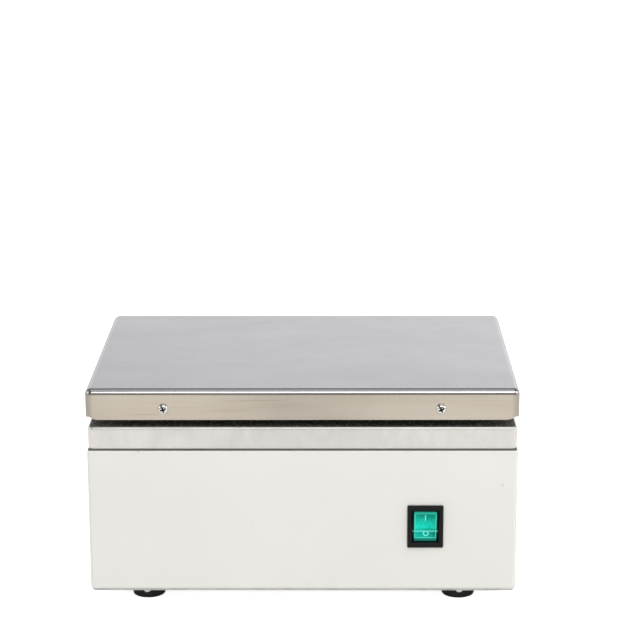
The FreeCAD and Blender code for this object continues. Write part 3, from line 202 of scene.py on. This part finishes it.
def make_camera():
    """The photograph's camera, with no shift and no depth of field."""
    data = bpy.data.cameras.new("camera")
    data.sensor_width = SENSOR
    data.lens = FOCAL_PIXELS / PICTURE_HEIGHT * SENSOR
    data.clip_end = CAMERA_REACH
    camera = bpy.data.objects.new("camera", data)
    bpy.context.scene.collection.objects.link(camera)
    turn = (Matrix.Rotation(CAMERA_YAW, 4, "Z") @ Matrix.Rotation(math.pi / 2 + CAMERA_PITCH, 4, "X")
            @ Matrix.Rotation(CAMERA_ROLL, 4, "Z"))
    camera.matrix_world = Matrix.Translation(CAMERA_PLACE) @ turn
    bpy.context.scene.camera = camera


class Tree:
    """A node tree with short ways to add and join nodes."""

    def __init__(self, tree):
        self.tree = tree

    def feed(self, socket, value):
        """Links a value that is a socket, and sets any other."""
        if isinstance(value, bpy.types.NodeSocket):
            self.tree.links.new(value, socket)
        else:
            socket.default_value = value

    def node(self, kind, inputs=None, **settings):
        """A new node with its inputs, by name or number, and its settings."""
        node = self.tree.nodes.new(f"ShaderNode{kind}")
        for key, value in settings.items():
            setattr(node, key, value)
        for key, value in (inputs or {}).items():
            self.feed(node.inputs[key], value)
        return node

    def math(self, operation, first, second=0.0):
        return self.node("Math", {0: first, 1: second}, operation=operation).outputs[0]

    def times(self, first, second):
        return self.math("MULTIPLY", first, second)

    def blend(self, factor, first, second, kind="MIX"):
        """The first colour turned into the second as the factor goes from 0 to 1."""
        node = self.node("Mix", data_type="RGBA", blend_type=kind)
        self.feed(node.inputs["Factor"], factor)
        self.feed(node.inputs["A"], first)
        self.feed(node.inputs["B"], second)
        return node.outputs["Result"]

    def tint(self, first, second):
        """Two colours multiplied."""
        return self.blend(1.0, first, second, "MULTIPLY")

    def spread(self, value, low, high, to_low=0.0, to_high=1.0):
        """The range from low to high laid over another range, and held at its ends."""
        inputs = {"Value": value, "From Min": low, "From Max": high, "To Min": to_low, "To Max": to_high}
        return self.node("MapRange", inputs).outputs["Result"]

    def ramp(self, value, stops):
        """A grey level that follows the stops, given as (position, level)."""
        node = self.node("ValToRGB", {"Fac": value})
        elements = node.color_ramp.elements
        while len(elements) < len(stops):
            elements.new(0.5)
        for element, (position, level) in zip(elements, stops):
            element.position = position
            element.color = (level, level, level, 1.0)
        return node.outputs["Color"]

    def rays(self, *kinds):
        """1 for a ray of any of the kinds, else 0."""
        path = self.node("LightPath")
        total = 0.0
        for kind in kinds:
            total = self.math("MAXIMUM", path.outputs[f"Is {kind} Ray"], total)
        return total


class Shader(Tree):
    """A principled material whose inputs are fed by procedural textures in object coordinates."""

    def __init__(self, name):
        self.material = bpy.data.materials.new(name)
        self.material.use_nodes = True
        super().__init__(self.material.node_tree)
        self.surface = self.tree.nodes["Principled BSDF"]
        self.place = self.node("TexCoord").outputs["Object"]
        parts = self.node("SeparateXYZ", {0: self.place})
        self.x, self.y, self.z = parts.outputs

    def set(self, **values):
        """Sets or feeds the surface's inputs, named with _ for each space."""
        for key, value in values.items():
            self.feed(self.surface.inputs[key.replace("_", " ")], value)

    def side_ramp(self, stops):
        """A grey level that follows the stops from the cover's left end (0) to its right end (1)."""
        return self.ramp(self.spread(self.x, -COVER_CORNER.x, COVER_CORNER.x), stops)

    def stretched(self, x, y, z):
        """Object coordinates multiplied along each axis."""
        return self.node("Mapping", {"Vector": self.place, "Scale": (x, y, z)}).outputs[0]

    def noise(self, scale=1.0, detail=2.0, roughness=0.5, vector=None, distortion=0.0):
        inputs = {"Vector": vector or self.place, "Scale": scale, "Detail": detail,
                  "Roughness": roughness, "Distortion": distortion}
        return self.node("TexNoise", inputs).outputs["Fac"]

    def vary(self, noise, first, second, low=NOISE_LOW, high=NOISE_HIGH):
        """A number that goes from the first to the second as the noise rises."""
        return self.spread(noise, low, high, first, second)

    def mottle(self, noise, first, second, low=NOISE_LOW, high=NOISE_HIGH):
        """A colour that goes from the first to the second as the noise rises."""
        return self.blend(self.spread(noise, low, high), first, second)

    def bump(self, *layers):
        """Each layer is (height, depth in metres)."""
        normal = None
        for height, depth in layers:
            node = self.node("Bump", {"Height": height, "Strength": 1.0, "Distance": depth})
            if normal is not None:
                self.feed(node.inputs["Normal"], normal)
            normal = node.outputs["Normal"]
        self.feed(self.surface.inputs["Normal"], normal)


def rgb(red, green, blue):
    """A linear colour from its 8-bit screen value."""
    def linear(value):
        value /= 255
        return value / 12.92 if value <= 0.04045 else ((value + 0.055) / 1.055) ** 2.4
    return (linear(red), linear(green), linear(blue), 1.0)


def cover_steel():
    """Fine-ground stainless sheet: grain along X, faint wiping marks, and a skirt with hairline scratches
    that is darker towards its corners. The lilac top and the warm skirt are painted reflections of the wall
    and the floor, and the skirt's darker middle is a painted reflection too."""
    corner_start = 6 * MM
    corner_end = 0.5 * MM
    scratch_strength = 0.3
    shader = Shader("cover_steel")
    grain = shader.noise(detail=3.0, roughness=0.6, vector=shader.stretched(22, 1100, 1100))
    wiped = shader.noise(detail=3.0, roughness=0.55, vector=shader.stretched(7, 16, 70), distortion=0.8)
    hairline = shader.noise(vector=shader.stretched(13, 1, 850), distortion=0.3)
    mottled = shader.noise(scale=32.0, detail=3.0, roughness=0.55, distortion=0.4)

    # Painted reflections: the top tinted lilac like the wall it mirrors, the skirt warm like the floor
    top = shader.mottle(mottled, rgb(192, 191, 196), rgb(197, 196, 201))
    skirt = shader.mottle(wiped, rgb(203, 193, 179), rgb(212, 203, 190), low=0.35)
    scratched = shader.times(shader.spread(hairline, 0.62, 0.7), scratch_strength)
    skirt = shader.blend(scratched, skirt, rgb(160, 150, 136))
    # Painted reflection: the skirt darker in the middle of the front
    skirt = shader.tint(skirt, shader.side_ramp(SKIRT_REFLECTION_BY_SIDE))
    ends = shader.spread(shader.math("ABSOLUTE", shader.x),
                         COVER_CORNER.x - corner_start, COVER_CORNER.x - corner_end)
    faces = shader.spread(shader.math("ABSOLUTE", shader.y),
                          COVER_CORNER.y - corner_start, COVER_CORNER.y - corner_end)
    skirt = shader.blend(shader.times(ends, faces), skirt, rgb(164, 158, 148))
    on_top = shader.spread(shader.z, COVER_CORNER.z - COVER_BEND, COVER_CORNER.z - COVER_BEND / 3)
    shader.set(Base_Color=shader.blend(on_top, skirt, top), Metallic=1.0)

    rough = shader.vary(wiped, 0.16, 0.21, high=0.75)
    shader.set(Roughness=shader.math("ADD", rough, shader.vary(grain, -0.015, 0.02)))
    shader.bump((grain, 0.004 * MM), (mottled, 0.02 * MM))
    return shader.material


def shield_steel():
    """Brighter sheet with a duller skin and scuffs, a dark speckled top under the cover, a lower bend painted
    pale as painted light, painted shade where it meets the housing, and a painted reflection that is darker
    in the middle of the front."""
    dark_top_start = 0.25 * MM
    dark_top_end = 0.05 * MM
    dark_top_dullness = 0.4
    dark_top_roughness = 0.18
    lit_bend_start = 1.6 * MM
    lit_bend_end = 0.9 * MM
    lit_bend_dullness = 0.85
    seam_shade_below = 0.05 * MM
    seam_shade_above = 0.1 * MM
    shader = Shader("shield_steel")
    grain = shader.noise(detail=3.0, roughness=0.6, vector=shader.stretched(30, 900, 900))
    scuffs = shader.noise(detail=4.0, roughness=0.62, vector=shader.stretched(45, 60, 22), distortion=1.4)
    speckle = shader.noise(scale=420.0, detail=4.0, roughness=0.7)

    bright = shader.mottle(scuffs, rgb(240, 238, 235), rgb(230, 228, 224), low=0.35)
    # Painted reflection: the band darker in the middle of the front
    bright = shader.tint(bright, shader.side_ramp(BAND_REFLECTION_BY_SIDE))
    # Painted light: the lower bend coloured paler and made less metallic, so it stays light facing the shaded
    # floor
    painted_lit_bend = shader.spread(shader.z, SHIELD_LOW + lit_bend_start, SHIELD_LOW + lit_bend_end)
    bright = shader.blend(painted_lit_bend, bright, rgb(250, 249, 246))
    # The top under the cover: dark, speckled, less metallic and rougher
    dark_top = shader.mottle(speckle, rgb(104, 102, 98), rgb(210, 209, 205), low=0.5, high=0.72)
    on_top = shader.spread(shader.z, SHIELD_HIGH - dark_top_start, SHIELD_HIGH - dark_top_end)
    # Painted shade: dark where the shield sits on the housing
    above_seam_shade = shader.spread(shader.z, SHIELD_LOW - seam_shade_below, SHIELD_LOW + seam_shade_above)
    colour = shader.blend(above_seam_shade, rgb(96, 90, 82), shader.blend(on_top, bright, dark_top))
    dulled = shader.math("MAXIMUM", shader.times(on_top, dark_top_dullness),
                         shader.times(painted_lit_bend, lit_bend_dullness))
    shader.set(Base_Color=colour, Metallic=shader.math("SUBTRACT", 1.0, dulled))

    rough = shader.vary(scuffs, 0.30, 0.37)
    shader.set(Roughness=shader.math("ADD", rough, shader.times(on_top, dark_top_roughness)))
    shader.bump((grain, 0.005 * MM), (scuffs, 0.04 * MM))
    return shader.material


def housing_paint():
    """Powder paint: fine orange peel, faint clouding, a few specks, a satin gloss, and painted shade in the
    seam under the shield."""
    seam_shade_start = 0.85 * MM
    seam_shade_end = 0.55 * MM
    speck_strength = 0.4
    shader = Shader("housing_paint")
    cloud = shader.noise(scale=9.0)
    peel = shader.noise(scale=700.0)
    speck = shader.spread(shader.noise(scale=150.0, detail=1.0, roughness=0.4), 0.79, 0.82)

    base = shader.mottle(cloud, rgb(241, 240, 236), rgb(237, 236, 231), high=0.8)
    base = shader.blend(shader.times(speck, speck_strength), base, rgb(176, 168, 156))
    # Painted shade: dark at the top of the housing, in the seam under the shield
    seam_shade = shader.spread(shader.z, SHIELD_LOW - seam_shade_start, SHIELD_LOW - seam_shade_end)
    shader.set(Base_Color=shader.blend(seam_shade, base, rgb(112, 106, 98)))
    shader.set(Roughness=shader.vary(cloud, 0.38, 0.46, low=0.2, high=0.8), Specular_IOR_Level=0.45)
    shader.bump((peel, 0.025 * MM))
    return shader.material


def plain_metal(name, first, second, roughness, metallic=1.0):
    """Small turned or pressed metal pieces with fine grain."""
    shader = Shader(name)
    grain = shader.noise(scale=1400.0, detail=3.0, roughness=0.6)
    cloud = shader.noise(scale=90.0)
    shader.set(Base_Color=shader.mottle(cloud, rgb(*first), rgb(*second)), Metallic=metallic)
    shader.set(Roughness=shader.vary(grain, roughness * 0.8, roughness * 1.2))
    shader.bump((grain, 0.002 * MM))
    return shader.material


def moulded(name, first, second, roughness, depth=0.006 * MM, scale=1600.0, gloss=0.5):
    """Moulded plastic, rubber, ceramic or board with a fine skin."""
    shader = Shader(name)
    grain = shader.noise(scale=scale, detail=3.0, roughness=0.6)
    cloud = shader.noise(scale=60.0)
    shader.set(Base_Color=shader.mottle(cloud, rgb(*first), rgb(*second)))
    shader.set(Roughness=shader.vary(grain, roughness * 0.85, roughness * 1.15), Specular_IOR_Level=gloss)
    shader.bump((grain, depth))
    return shader.material


def green_lens():
    """Translucent green plastic with painted light and shade: brightest above the crease, with painted
    highlights on the crease and the top end, painted shade on the bottom end and down the bevelled sides, and
    a painted reflection lighter to the left.
    """
    lit_crown_start = 0.1 * MM
    lit_crown_end = 0.3 * MM
    shaded_foot_end = 0.3 * MM
    shaded_bevel_end = 0.25 * MM
    flow_light = 0.12
    shader = Shader("rocker_green")
    flow = shader.noise(vector=shader.stretched(420, 420, 90), distortion=0.6)
    across = shader.math("SUBTRACT", shader.x, PIVOT.x)
    height = shader.math("SUBTRACT", shader.z, PIVOT.z)

    # Painted light and shade by height, and a painted reflection lighter to the left
    brightness = shader.ramp(shader.spread(height, OUTLINE_BOTTOM, OUTLINE_TOP), LENS_SHADING_BY_HEIGHT)
    side_reflection = shader.spread(across, -OUTLINE_REACH, OUTLINE_REACH, LENS_LEFT_REFLECTION, LENS_RIGHT_REFLECTION)
    share = shader.math("ADD", shader.math("ADD", brightness, side_reflection), shader.vary(flow, -flow_light, flow_light))
    colour = shader.blend(shader.spread(share, 0.0, 1.0), rgb(0, 150, 126), rgb(26, 246, 218))
    # Painted highlight on the rocker's top end
    lit_crown = shader.spread(height, OUTLINE_TOP + lit_crown_start, OUTLINE_TOP + lit_crown_end)
    colour = shader.blend(lit_crown, colour, rgb(56, 192, 170))
    # Painted shade on the rocker's bottom end
    foot = shader.spread(height, OUTLINE_BOTTOM, OUTLINE_BOTTOM - shaded_foot_end)
    colour = shader.blend(foot, colour, rgb(26, 146, 130))
    # Painted shade down the bevelled sides
    shaded_bevel = shader.spread(shader.math("ABSOLUTE", across), OUTLINE_REACH, OUTLINE_REACH + shaded_bevel_end)
    colour = shader.blend(shaded_bevel, colour, rgb(0, 54, 48))
    # Painted highlight along the crease
    off_crease = shader.math("ABSOLUTE", shader.math("SUBTRACT", height, CREASE_HEIGHT))
    crease = shader.spread(off_crease, CREASE_WIDTH / 2, CREASE_WIDTH / 4)
    shader.set(Base_Color=shader.blend(crease, colour, rgb(104, 248, 230)))

    shader.set(Roughness=shader.vary(flow, 0.2, 0.3), Specular_IOR_Level=0.1)
    shader.set(Subsurface_Weight=0.15, Subsurface_Radius=(0.4 * MM, 1.6 * MM, 1.3 * MM), Subsurface_Scale=1.0)
    return shader.material


def pale_marks(name, first, second):
    """Moulded marks and the painted highlights of the rocker's outline and crease, paler than the cap round
    them.
    """
    shader = Shader(name)
    cloud = shader.noise(scale=600.0)
    shader.set(Base_Color=shader.mottle(cloud, first, second))
    shader.set(Roughness=shader.vary(cloud, 0.3, 0.45), Specular_IOR_Level=0.2)
    return shader.material


def make_materials():
    """All materials by name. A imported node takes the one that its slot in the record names."""
    materials = {
        "cover_steel": cover_steel(),
        "shield_steel": shield_steel(),
        "housing_paint": housing_paint(),
        "rocker_green": green_lens(),
        "rocker_marks_and_crease_highlight": pale_marks("rocker_marks_and_crease_highlight", rgb(100, 255, 238), rgb(124, 255, 246)),
        "rocker_outline_highlight": pale_marks("rocker_outline_highlight", rgb(76, 230, 206), rgb(92, 246, 222)),
    }
    for name, look in METALS.items():
        materials[name] = plain_metal(name, **look)
    for name, look in MOULDINGS.items():
        materials[name] = moulded(name, **look)
    return materials


def slot_of(node):
    """The material slot that the record gives a node."""
    return next(part["material_slot"] for part in frame["record"]["subparts"] if part["node"] == node)


def dress_nodes(materials):
    """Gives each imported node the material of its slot."""
    for name, node in nodes.items():
        material = materials.get(slot_of(name))
        if material is None:
            continue
        if not node.material_slots:
            node.data.materials.append(material)
        for index in range(len(node.material_slots)):
            node.material_slots[index].material = material


def object_of(name, bm):
    """Turns a bmesh into an object of the scene."""
    mesh = bpy.data.meshes.new(name)
    bm.to_mesh(mesh)
    bm.free()
    item = bpy.data.objects.new(name, mesh)
    bpy.context.scene.collection.objects.link(item)
    return item


def add_piece(name, bm, body, material, replaced=None):
    """Turns a bmesh into a piece that rides on a body."""
    piece = object_of(name, bm)
    piece.data.materials.append(material)
    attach(piece, body)
    if replaced:
        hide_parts(replaced)
    return piece


def solids_of(node):
    """The box of each separate solid in a node, as (low, high), in the order of their lowest corners."""
    bm = bmesh.new()
    bm.from_mesh(nodes[node].data)
    bmesh.ops.remove_doubles(bm, verts=bm.verts, dist=0.0001 * MM)
    boxes = []
    unseen = set(bm.verts)
    while unseen:
        group = []
        queue = [unseen.pop()]
        while queue:
            vertex = queue.pop()
            group.append(vertex.co)
            for edge in vertex.link_edges:
                other = edge.other_vert(vertex)
                if other in unseen:
                    unseen.remove(other)
                    queue.append(other)
        boxes.append((Vector([min(c[i] for c in group) for i in range(3)]),
                      Vector([max(c[i] for c in group) for i in range(3)])))
    bm.free()
    return sorted(boxes, key=lambda box: tuple(round(value, 4) for value in box[0]))


def ring_of(radius, steps, across=0.0, height=0.0):
    """The points of a circle about a centre, as (across, height) pairs."""
    turns = [2 * math.pi * i / steps for i in range(steps)]
    return [(across + radius * math.cos(turn), height + radius * math.sin(turn)) for turn in turns]


def spin_profile(bm, profile, steps):
    """Turns a profile of (radius, height) points about Z and closes it where it meets the axis."""
    rings = []
    for radius, height in profile:
        places = ring_of(radius, steps) if radius else [(0.0, 0.0)]
        rings.append([bm.verts.new((x, y, height)) for x, y in places])
    for lower, upper in zip(rings, rings[1:]):
        for i in range(steps):
            j = (i + 1) % steps
            corners = [lower[i % len(lower)], lower[j % len(lower)],
                       upper[j % len(upper)], upper[i % len(upper)]]
            face = list(dict.fromkeys(corners))
            if len(face) > 2:
                bm.faces.new(face)


def screw_profile(head, height, shank, length, pointed):
    """The (radius, height) points of a pan-head screw, from its tip up to the top of its dome."""
    tip = POINTED_TIP if pointed else BLUNT_TIP
    profile = [(0, -length), (shank * tip["radius"], -length), (shank / 2, -length + shank * tip["length"]),
               (shank / 2, 0), (head * HEAD_SEAT, 0), (head / 2, height * HEAD_CHAMFER),
               (head / 2, height * HEAD_RIM)]
    for step in range(1, DOME_STEPS):
        angle = math.pi / 2 * step / DOME_STEPS
        rise = HEAD_RIM + (1 - HEAD_RIM) * math.sin(angle) ** DOME_HEIGHT_POWER
        profile.append((head / 2 * math.cos(angle) ** DOME_WIDTH_POWER, height * rise))
    profile.append((0, height))
    return profile


def cross_cutter(diameter, height):
    """The tapered cross that a screwdriver fits, as a closed solid that reaches above the head."""
    bm = bmesh.new()
    rings = []
    for level, reach, half_width in RECESS_LEVELS:
        arm = diameter * reach
        half = diameter * half_width
        ring = []
        for turn in range(4):
            angle = -turn * math.pi / 2
            for x, y in ((half, half), (arm, half), (arm, -half)):
                ring.append(bm.verts.new((x * math.cos(angle) - y * math.sin(angle),
                                          x * math.sin(angle) + y * math.cos(angle), height * level)))
        rings.append(ring)
    for upper, lower in zip(rings, rings[1:]):
        for i in range(len(upper)):
            j = (i + 1) % len(upper)
            bm.faces.new((upper[i], upper[j], lower[j], lower[i]))
    bm.faces.new(rings[0])
    bm.faces.new(rings[-1])
    bmesh.ops.recalc_face_normals(bm, faces=bm.faces)
    return bm


def pan_screw_mesh(name, head, height, shank, length, pointed, finishes):
    """A pan-head screw with a domed head and a cross recess coloured dark as painted shade, head up, its seat
    on z = 0.
    """
    bm = bmesh.new()
    spin_profile(bm, screw_profile(head, height, shank, length, pointed), HEAD_STEPS)
    bmesh.ops.recalc_face_normals(bm, faces=bm.faces)
    screw = object_of(f"{name}_blank", bm)
    cutter = object_of(f"{name}_cutter", cross_cutter(head, height))
    for item in (screw, cutter):
        for finish in finishes:
            item.data.materials.append(finish)
    for face in cutter.data.polygons:
        face.material_index = 1
    cut = screw.modifiers.new("recess", "BOOLEAN")
    cut.operation = "DIFFERENCE"
    cut.solver = "EXACT"
    cut.object = cutter
    bpy.context.view_layer.update()
    mesh = bpy.data.meshes.new_from_object(screw.evaluated_get(bpy.context.evaluated_depsgraph_get()))
    for item in (screw, cutter):
        bpy.data.objects.remove(item)
    return mesh


def shade(piece):
    """Smooth shading that keeps the sharp edges."""
    piece.data.shade_smooth()
    piece.data.set_sharp_from_angle(angle=SHARP_ANGLE)


def screw_seat(low, high, height):
    """How far a screw reaches below its head, and the matrix that stands it in its solid's place.

    A screw that lies along Y has its head outwards. Any other has its head down.
    """
    centre = (low + high) / 2
    spans = high - low
    if spans.y > max(spans.x, spans.z) * LONGER:
        front = centre.y < (cad_low.y + cad_high.y) / 2
        seat = Vector((centre.x, low.y + height if front else high.y - height, centre.z))
        facing = Matrix.Rotation(math.pi / 2 if front else -math.pi / 2, 4, "X")
        return spans.y - height, Matrix.Translation(seat) @ facing
    seat = Vector((centre.x, centre.y, low.z + height))
    return spans.z - height, Matrix.Translation(seat) @ Matrix.Rotation(math.pi, 4, "X")


def make_screws(materials, node, head, height, shank, turns, pointed=False):
    """Redraws a node of screws with real heads, each on its solid and turned by an angle of its own."""
    slot = slot_of(node)
    finishes = (materials[slot], materials["screw_recess_shade"])
    bm = bmesh.new()
    blank = None
    for (low, high), turn in zip(solids_of(node), turns):
        length, seat = screw_seat(low, high, height)
        if blank is None:
            blank = pan_screw_mesh(node, head, height, shank, length, pointed, finishes)
        copy = blank.copy()
        copy.transform(seat @ Matrix.Rotation(math.radians(turn), 4, "Z"))
        bm.from_mesh(copy)
        bpy.data.meshes.remove(copy)
    piece = add_piece(f"{node}_detailed", bm, "base", finishes[0], node)
    piece.data.materials.append(finishes[1])
    shade(piece)


def rocker_face(above):
    """The broad front face above or below the rocker's crease."""
    node = nodes["switch_rocker"]
    crease = PIVOT.z + CREASE_HEIGHT
    fronts = [polygon for polygon in node.data.polygons if polygon.normal.y < FRONT_NORMAL
              and (polygon.center.z > PIVOT.z if above else polygon.center.z < crease)]
    broadest = max(fronts, key=lambda polygon: polygon.area)
    reach = max(abs(node.data.vertices[index].co.x - PIVOT.x) for index in broadest.vertices)
    return Face(broadest.center.copy(), broadest.normal.copy(), reach)


def on_face(face, across, height, lift=0.0):
    """The place on a face that lies across and above the pivot by so much, lifted off it."""
    z = PIVOT.z + height
    y = face.point.y - (z - face.point.z) * face.out.z / face.out.y
    return Vector((PIVOT.x + across, y, z)) + face.out * lift


def inlay(bm, face, outer, inner=None):
    """A thin solid let into a face, from an outline of (across, height) pairs and an optional hole."""
    loops = [outer] if inner is None else [outer, inner]
    tops = [[bm.verts.new(on_face(face, x, z, MARK_RISE)) for x, z in loop] for loop in loops]
    feet = [[bm.verts.new(on_face(face, x, z, -MARK_SINK)) for x, z in loop] for loop in loops]
    count = len(outer)
    if inner is None:
        bm.faces.new(tops[0])
        bm.faces.new(feet[0])
    for i in range(count):
        j = (i + 1) % count
        for top, foot in zip(tops, feet):
            bm.faces.new((top[i], top[j], foot[j], foot[i]))
        if inner is not None:
            for rings in (tops, feet):
                bm.faces.new((rings[0][i], rings[0][j], rings[1][j], rings[1][i]))


def bar(x, low, high, width):
    """The four corners of an upright bar centred on x."""
    return [(x - width / 2, low), (x + width / 2, low), (x + width / 2, high), (x - width / 2, high)]


def make_rocker_marks_and_highlights(materials):
    """The generic on and off marks, and the painted highlights along the outline and crease of the rocker."""
    upper = rocker_face(True)
    lower = rocker_face(False)
    crease_length = 2 * min(upper.reach, lower.reach)
    off_radius = OFF_MARK["diameter"] / 2
    off_centre = (OFF_MARK["across"], OFF_MARK["height"])

    marks_and_crease_highlight = bmesh.new()
    inlay(marks_and_crease_highlight, upper, bar(0.0, ON_MARK["low"], ON_MARK["high"], ON_MARK["width"]))
    inlay(marks_and_crease_highlight, lower, ring_of(off_radius, OFF_STEPS, *off_centre),
          ring_of(off_radius - OFF_MARK["line"], OFF_STEPS, *off_centre))
    # Painted highlight: two bright bars along the crease
    inlay(marks_and_crease_highlight, upper, bar(0.0, CREASE_HEIGHT, CREASE_HEIGHT + CREASE_WIDTH / 2, crease_length))
    inlay(marks_and_crease_highlight, lower, bar(0.0, CREASE_HEIGHT - CREASE_WIDTH / 2, CREASE_HEIGHT, crease_length))

    edge_highlights = bmesh.new()
    # Painted highlights: pale bars along the edges of the front face
    for side in (-1, 1):
        x = side * (OUTLINE_REACH - OUTLINE_WIDTH / 2)
        inlay(edge_highlights, upper, bar(x, CREASE_HEIGHT, OUTLINE_TOP, OUTLINE_WIDTH))
        inlay(edge_highlights, lower, bar(x, OUTLINE_BOTTOM, CREASE_HEIGHT, OUTLINE_WIDTH))
    inlay(edge_highlights, lower, bar(0.0, OUTLINE_BOTTOM, OUTLINE_BOTTOM + OUTLINE_WIDTH, 2 * OUTLINE_REACH))

    for name, bm in (("rocker_marks_and_crease_highlight", marks_and_crease_highlight), ("rocker_outline_highlight", edge_highlights)):
        bmesh.ops.recalc_face_normals(bm, faces=bm.faces)
        add_piece(name, bm, "rocker", materials[name])


def make_world():
    """A plain studio: white to look at, and in metal a white back wall, a dim front and a dark ceiling."""
    world = bpy.data.worlds.new("studio")
    bpy.context.scene.world = world
    world.use_nodes = True
    tree = Tree(world.node_tree)
    parts = tree.node("SeparateXYZ", {0: tree.node("TexCoord").outputs["Generated"]})
    side = tree.spread(parts.outputs["X"], 1.0, -1.0)
    front = tree.times(parts.outputs["Y"], -1.0)
    level = tree.tint(tree.ramp(parts.outputs["Z"], WALL_BY_HEIGHT), tree.ramp(side, WALL_BY_SIDE))
    level = tree.tint(level, tree.ramp(front, WALL_BY_FRONT))
    light = tree.node("Background", {"Color": WHITE, "Strength": SKY_LIGHT}).outputs[0]
    mirrored = tree.node("Background", {"Color": level, "Strength": WALL_STRENGTH}).outputs[0]
    plain = tree.node("Background", {"Color": WHITE}).outputs[0]
    light = tree.node("MixShader", {0: tree.rays("Glossy"), 1: light, 2: mirrored}).outputs[0]
    light = tree.node("MixShader", {0: tree.rays("Camera", "Transmission"), 1: light, 2: plain}).outputs[0]
    tree.feed(tree.tree.nodes["World Output"].inputs["Surface"], light)


def make_floor():
    """A pale floor that is white where it is seen, and keeps the shadow."""
    bm = bmesh.new()
    bmesh.ops.create_grid(bm, x_segments=1, y_segments=1, size=FLOOR_SIZE)
    floor = object_of("floor", bm)
    shader = Shader("floor")
    shader.set(Base_Color=FLOOR_COLOUR, Roughness=0.9)
    seen = shader.times(shader.rays("Camera", "Transmission"), FLOOR_GLOW)
    mirrored = shader.times(shader.rays("Glossy"), FLOOR_MIRRORED)
    brightness = shader.node("Emission", {"Strength": shader.math("ADD", seen, mirrored)})
    total = shader.node("AddShader", {0: shader.surface.outputs[0], 1: brightness.outputs[0]})
    shader.feed(shader.tree.nodes["Material Output"].inputs["Surface"], total.outputs[0])
    floor.data.materials.append(shader.material)


def make_lamp(name, place, size, watts, aim=LAMP_AIM, mirrored=True):
    """A soft rectangular lamp, which shows in polished metal unless mirrored is off."""
    data = bpy.data.lights.new(name, "AREA")
    data.shape = "RECTANGLE"
    data.size, data.size_y = size
    data.energy = watts
    lamp = bpy.data.objects.new(name, data)
    bpy.context.scene.collection.objects.link(lamp)
    lamp.visible_glossy = mirrored
    lamp.location = place
    lamp.rotation_mode = "QUATERNION"
    lamp.rotation_quaternion = (Vector(aim) - Vector(place)).to_track_quat("-Z", "Y")


def make_lights():
    """Soft light from the front and both sides, a low fill for the skirt and one for the back."""
    make_lamp("front_softbox", place=(0.35, -1.3, 1.5), size=(1.8, 1.0), watts=13.0)
    make_lamp("left_fill", place=(-1.6, -0.4, 0.9), size=(0.9, 0.9), watts=3.5)
    make_lamp("right_fill", place=(1.6, -0.4, 0.9), size=(0.9, 0.9), watts=6.0)
    make_lamp("low_fill", place=(0.1, -1.6, 0.25), size=(1.4, 0.25), watts=1.6, aim=(0.0, 0.0, 0.0),
              mirrored=False)
    make_lamp("back_fill", place=(0.4, 1.7, 1.0), size=(1.4, 0.9), watts=11.0, mirrored=False)


make_camera()
bpy.context.scene.view_settings.view_transform = "Standard"
materials = make_materials()
dress_nodes(materials)
for screws, sizes in SCREWS.items():
    make_screws(materials, screws, **sizes)
make_rocker_marks_and_highlights(materials)
make_world()
make_floor()
make_lights()
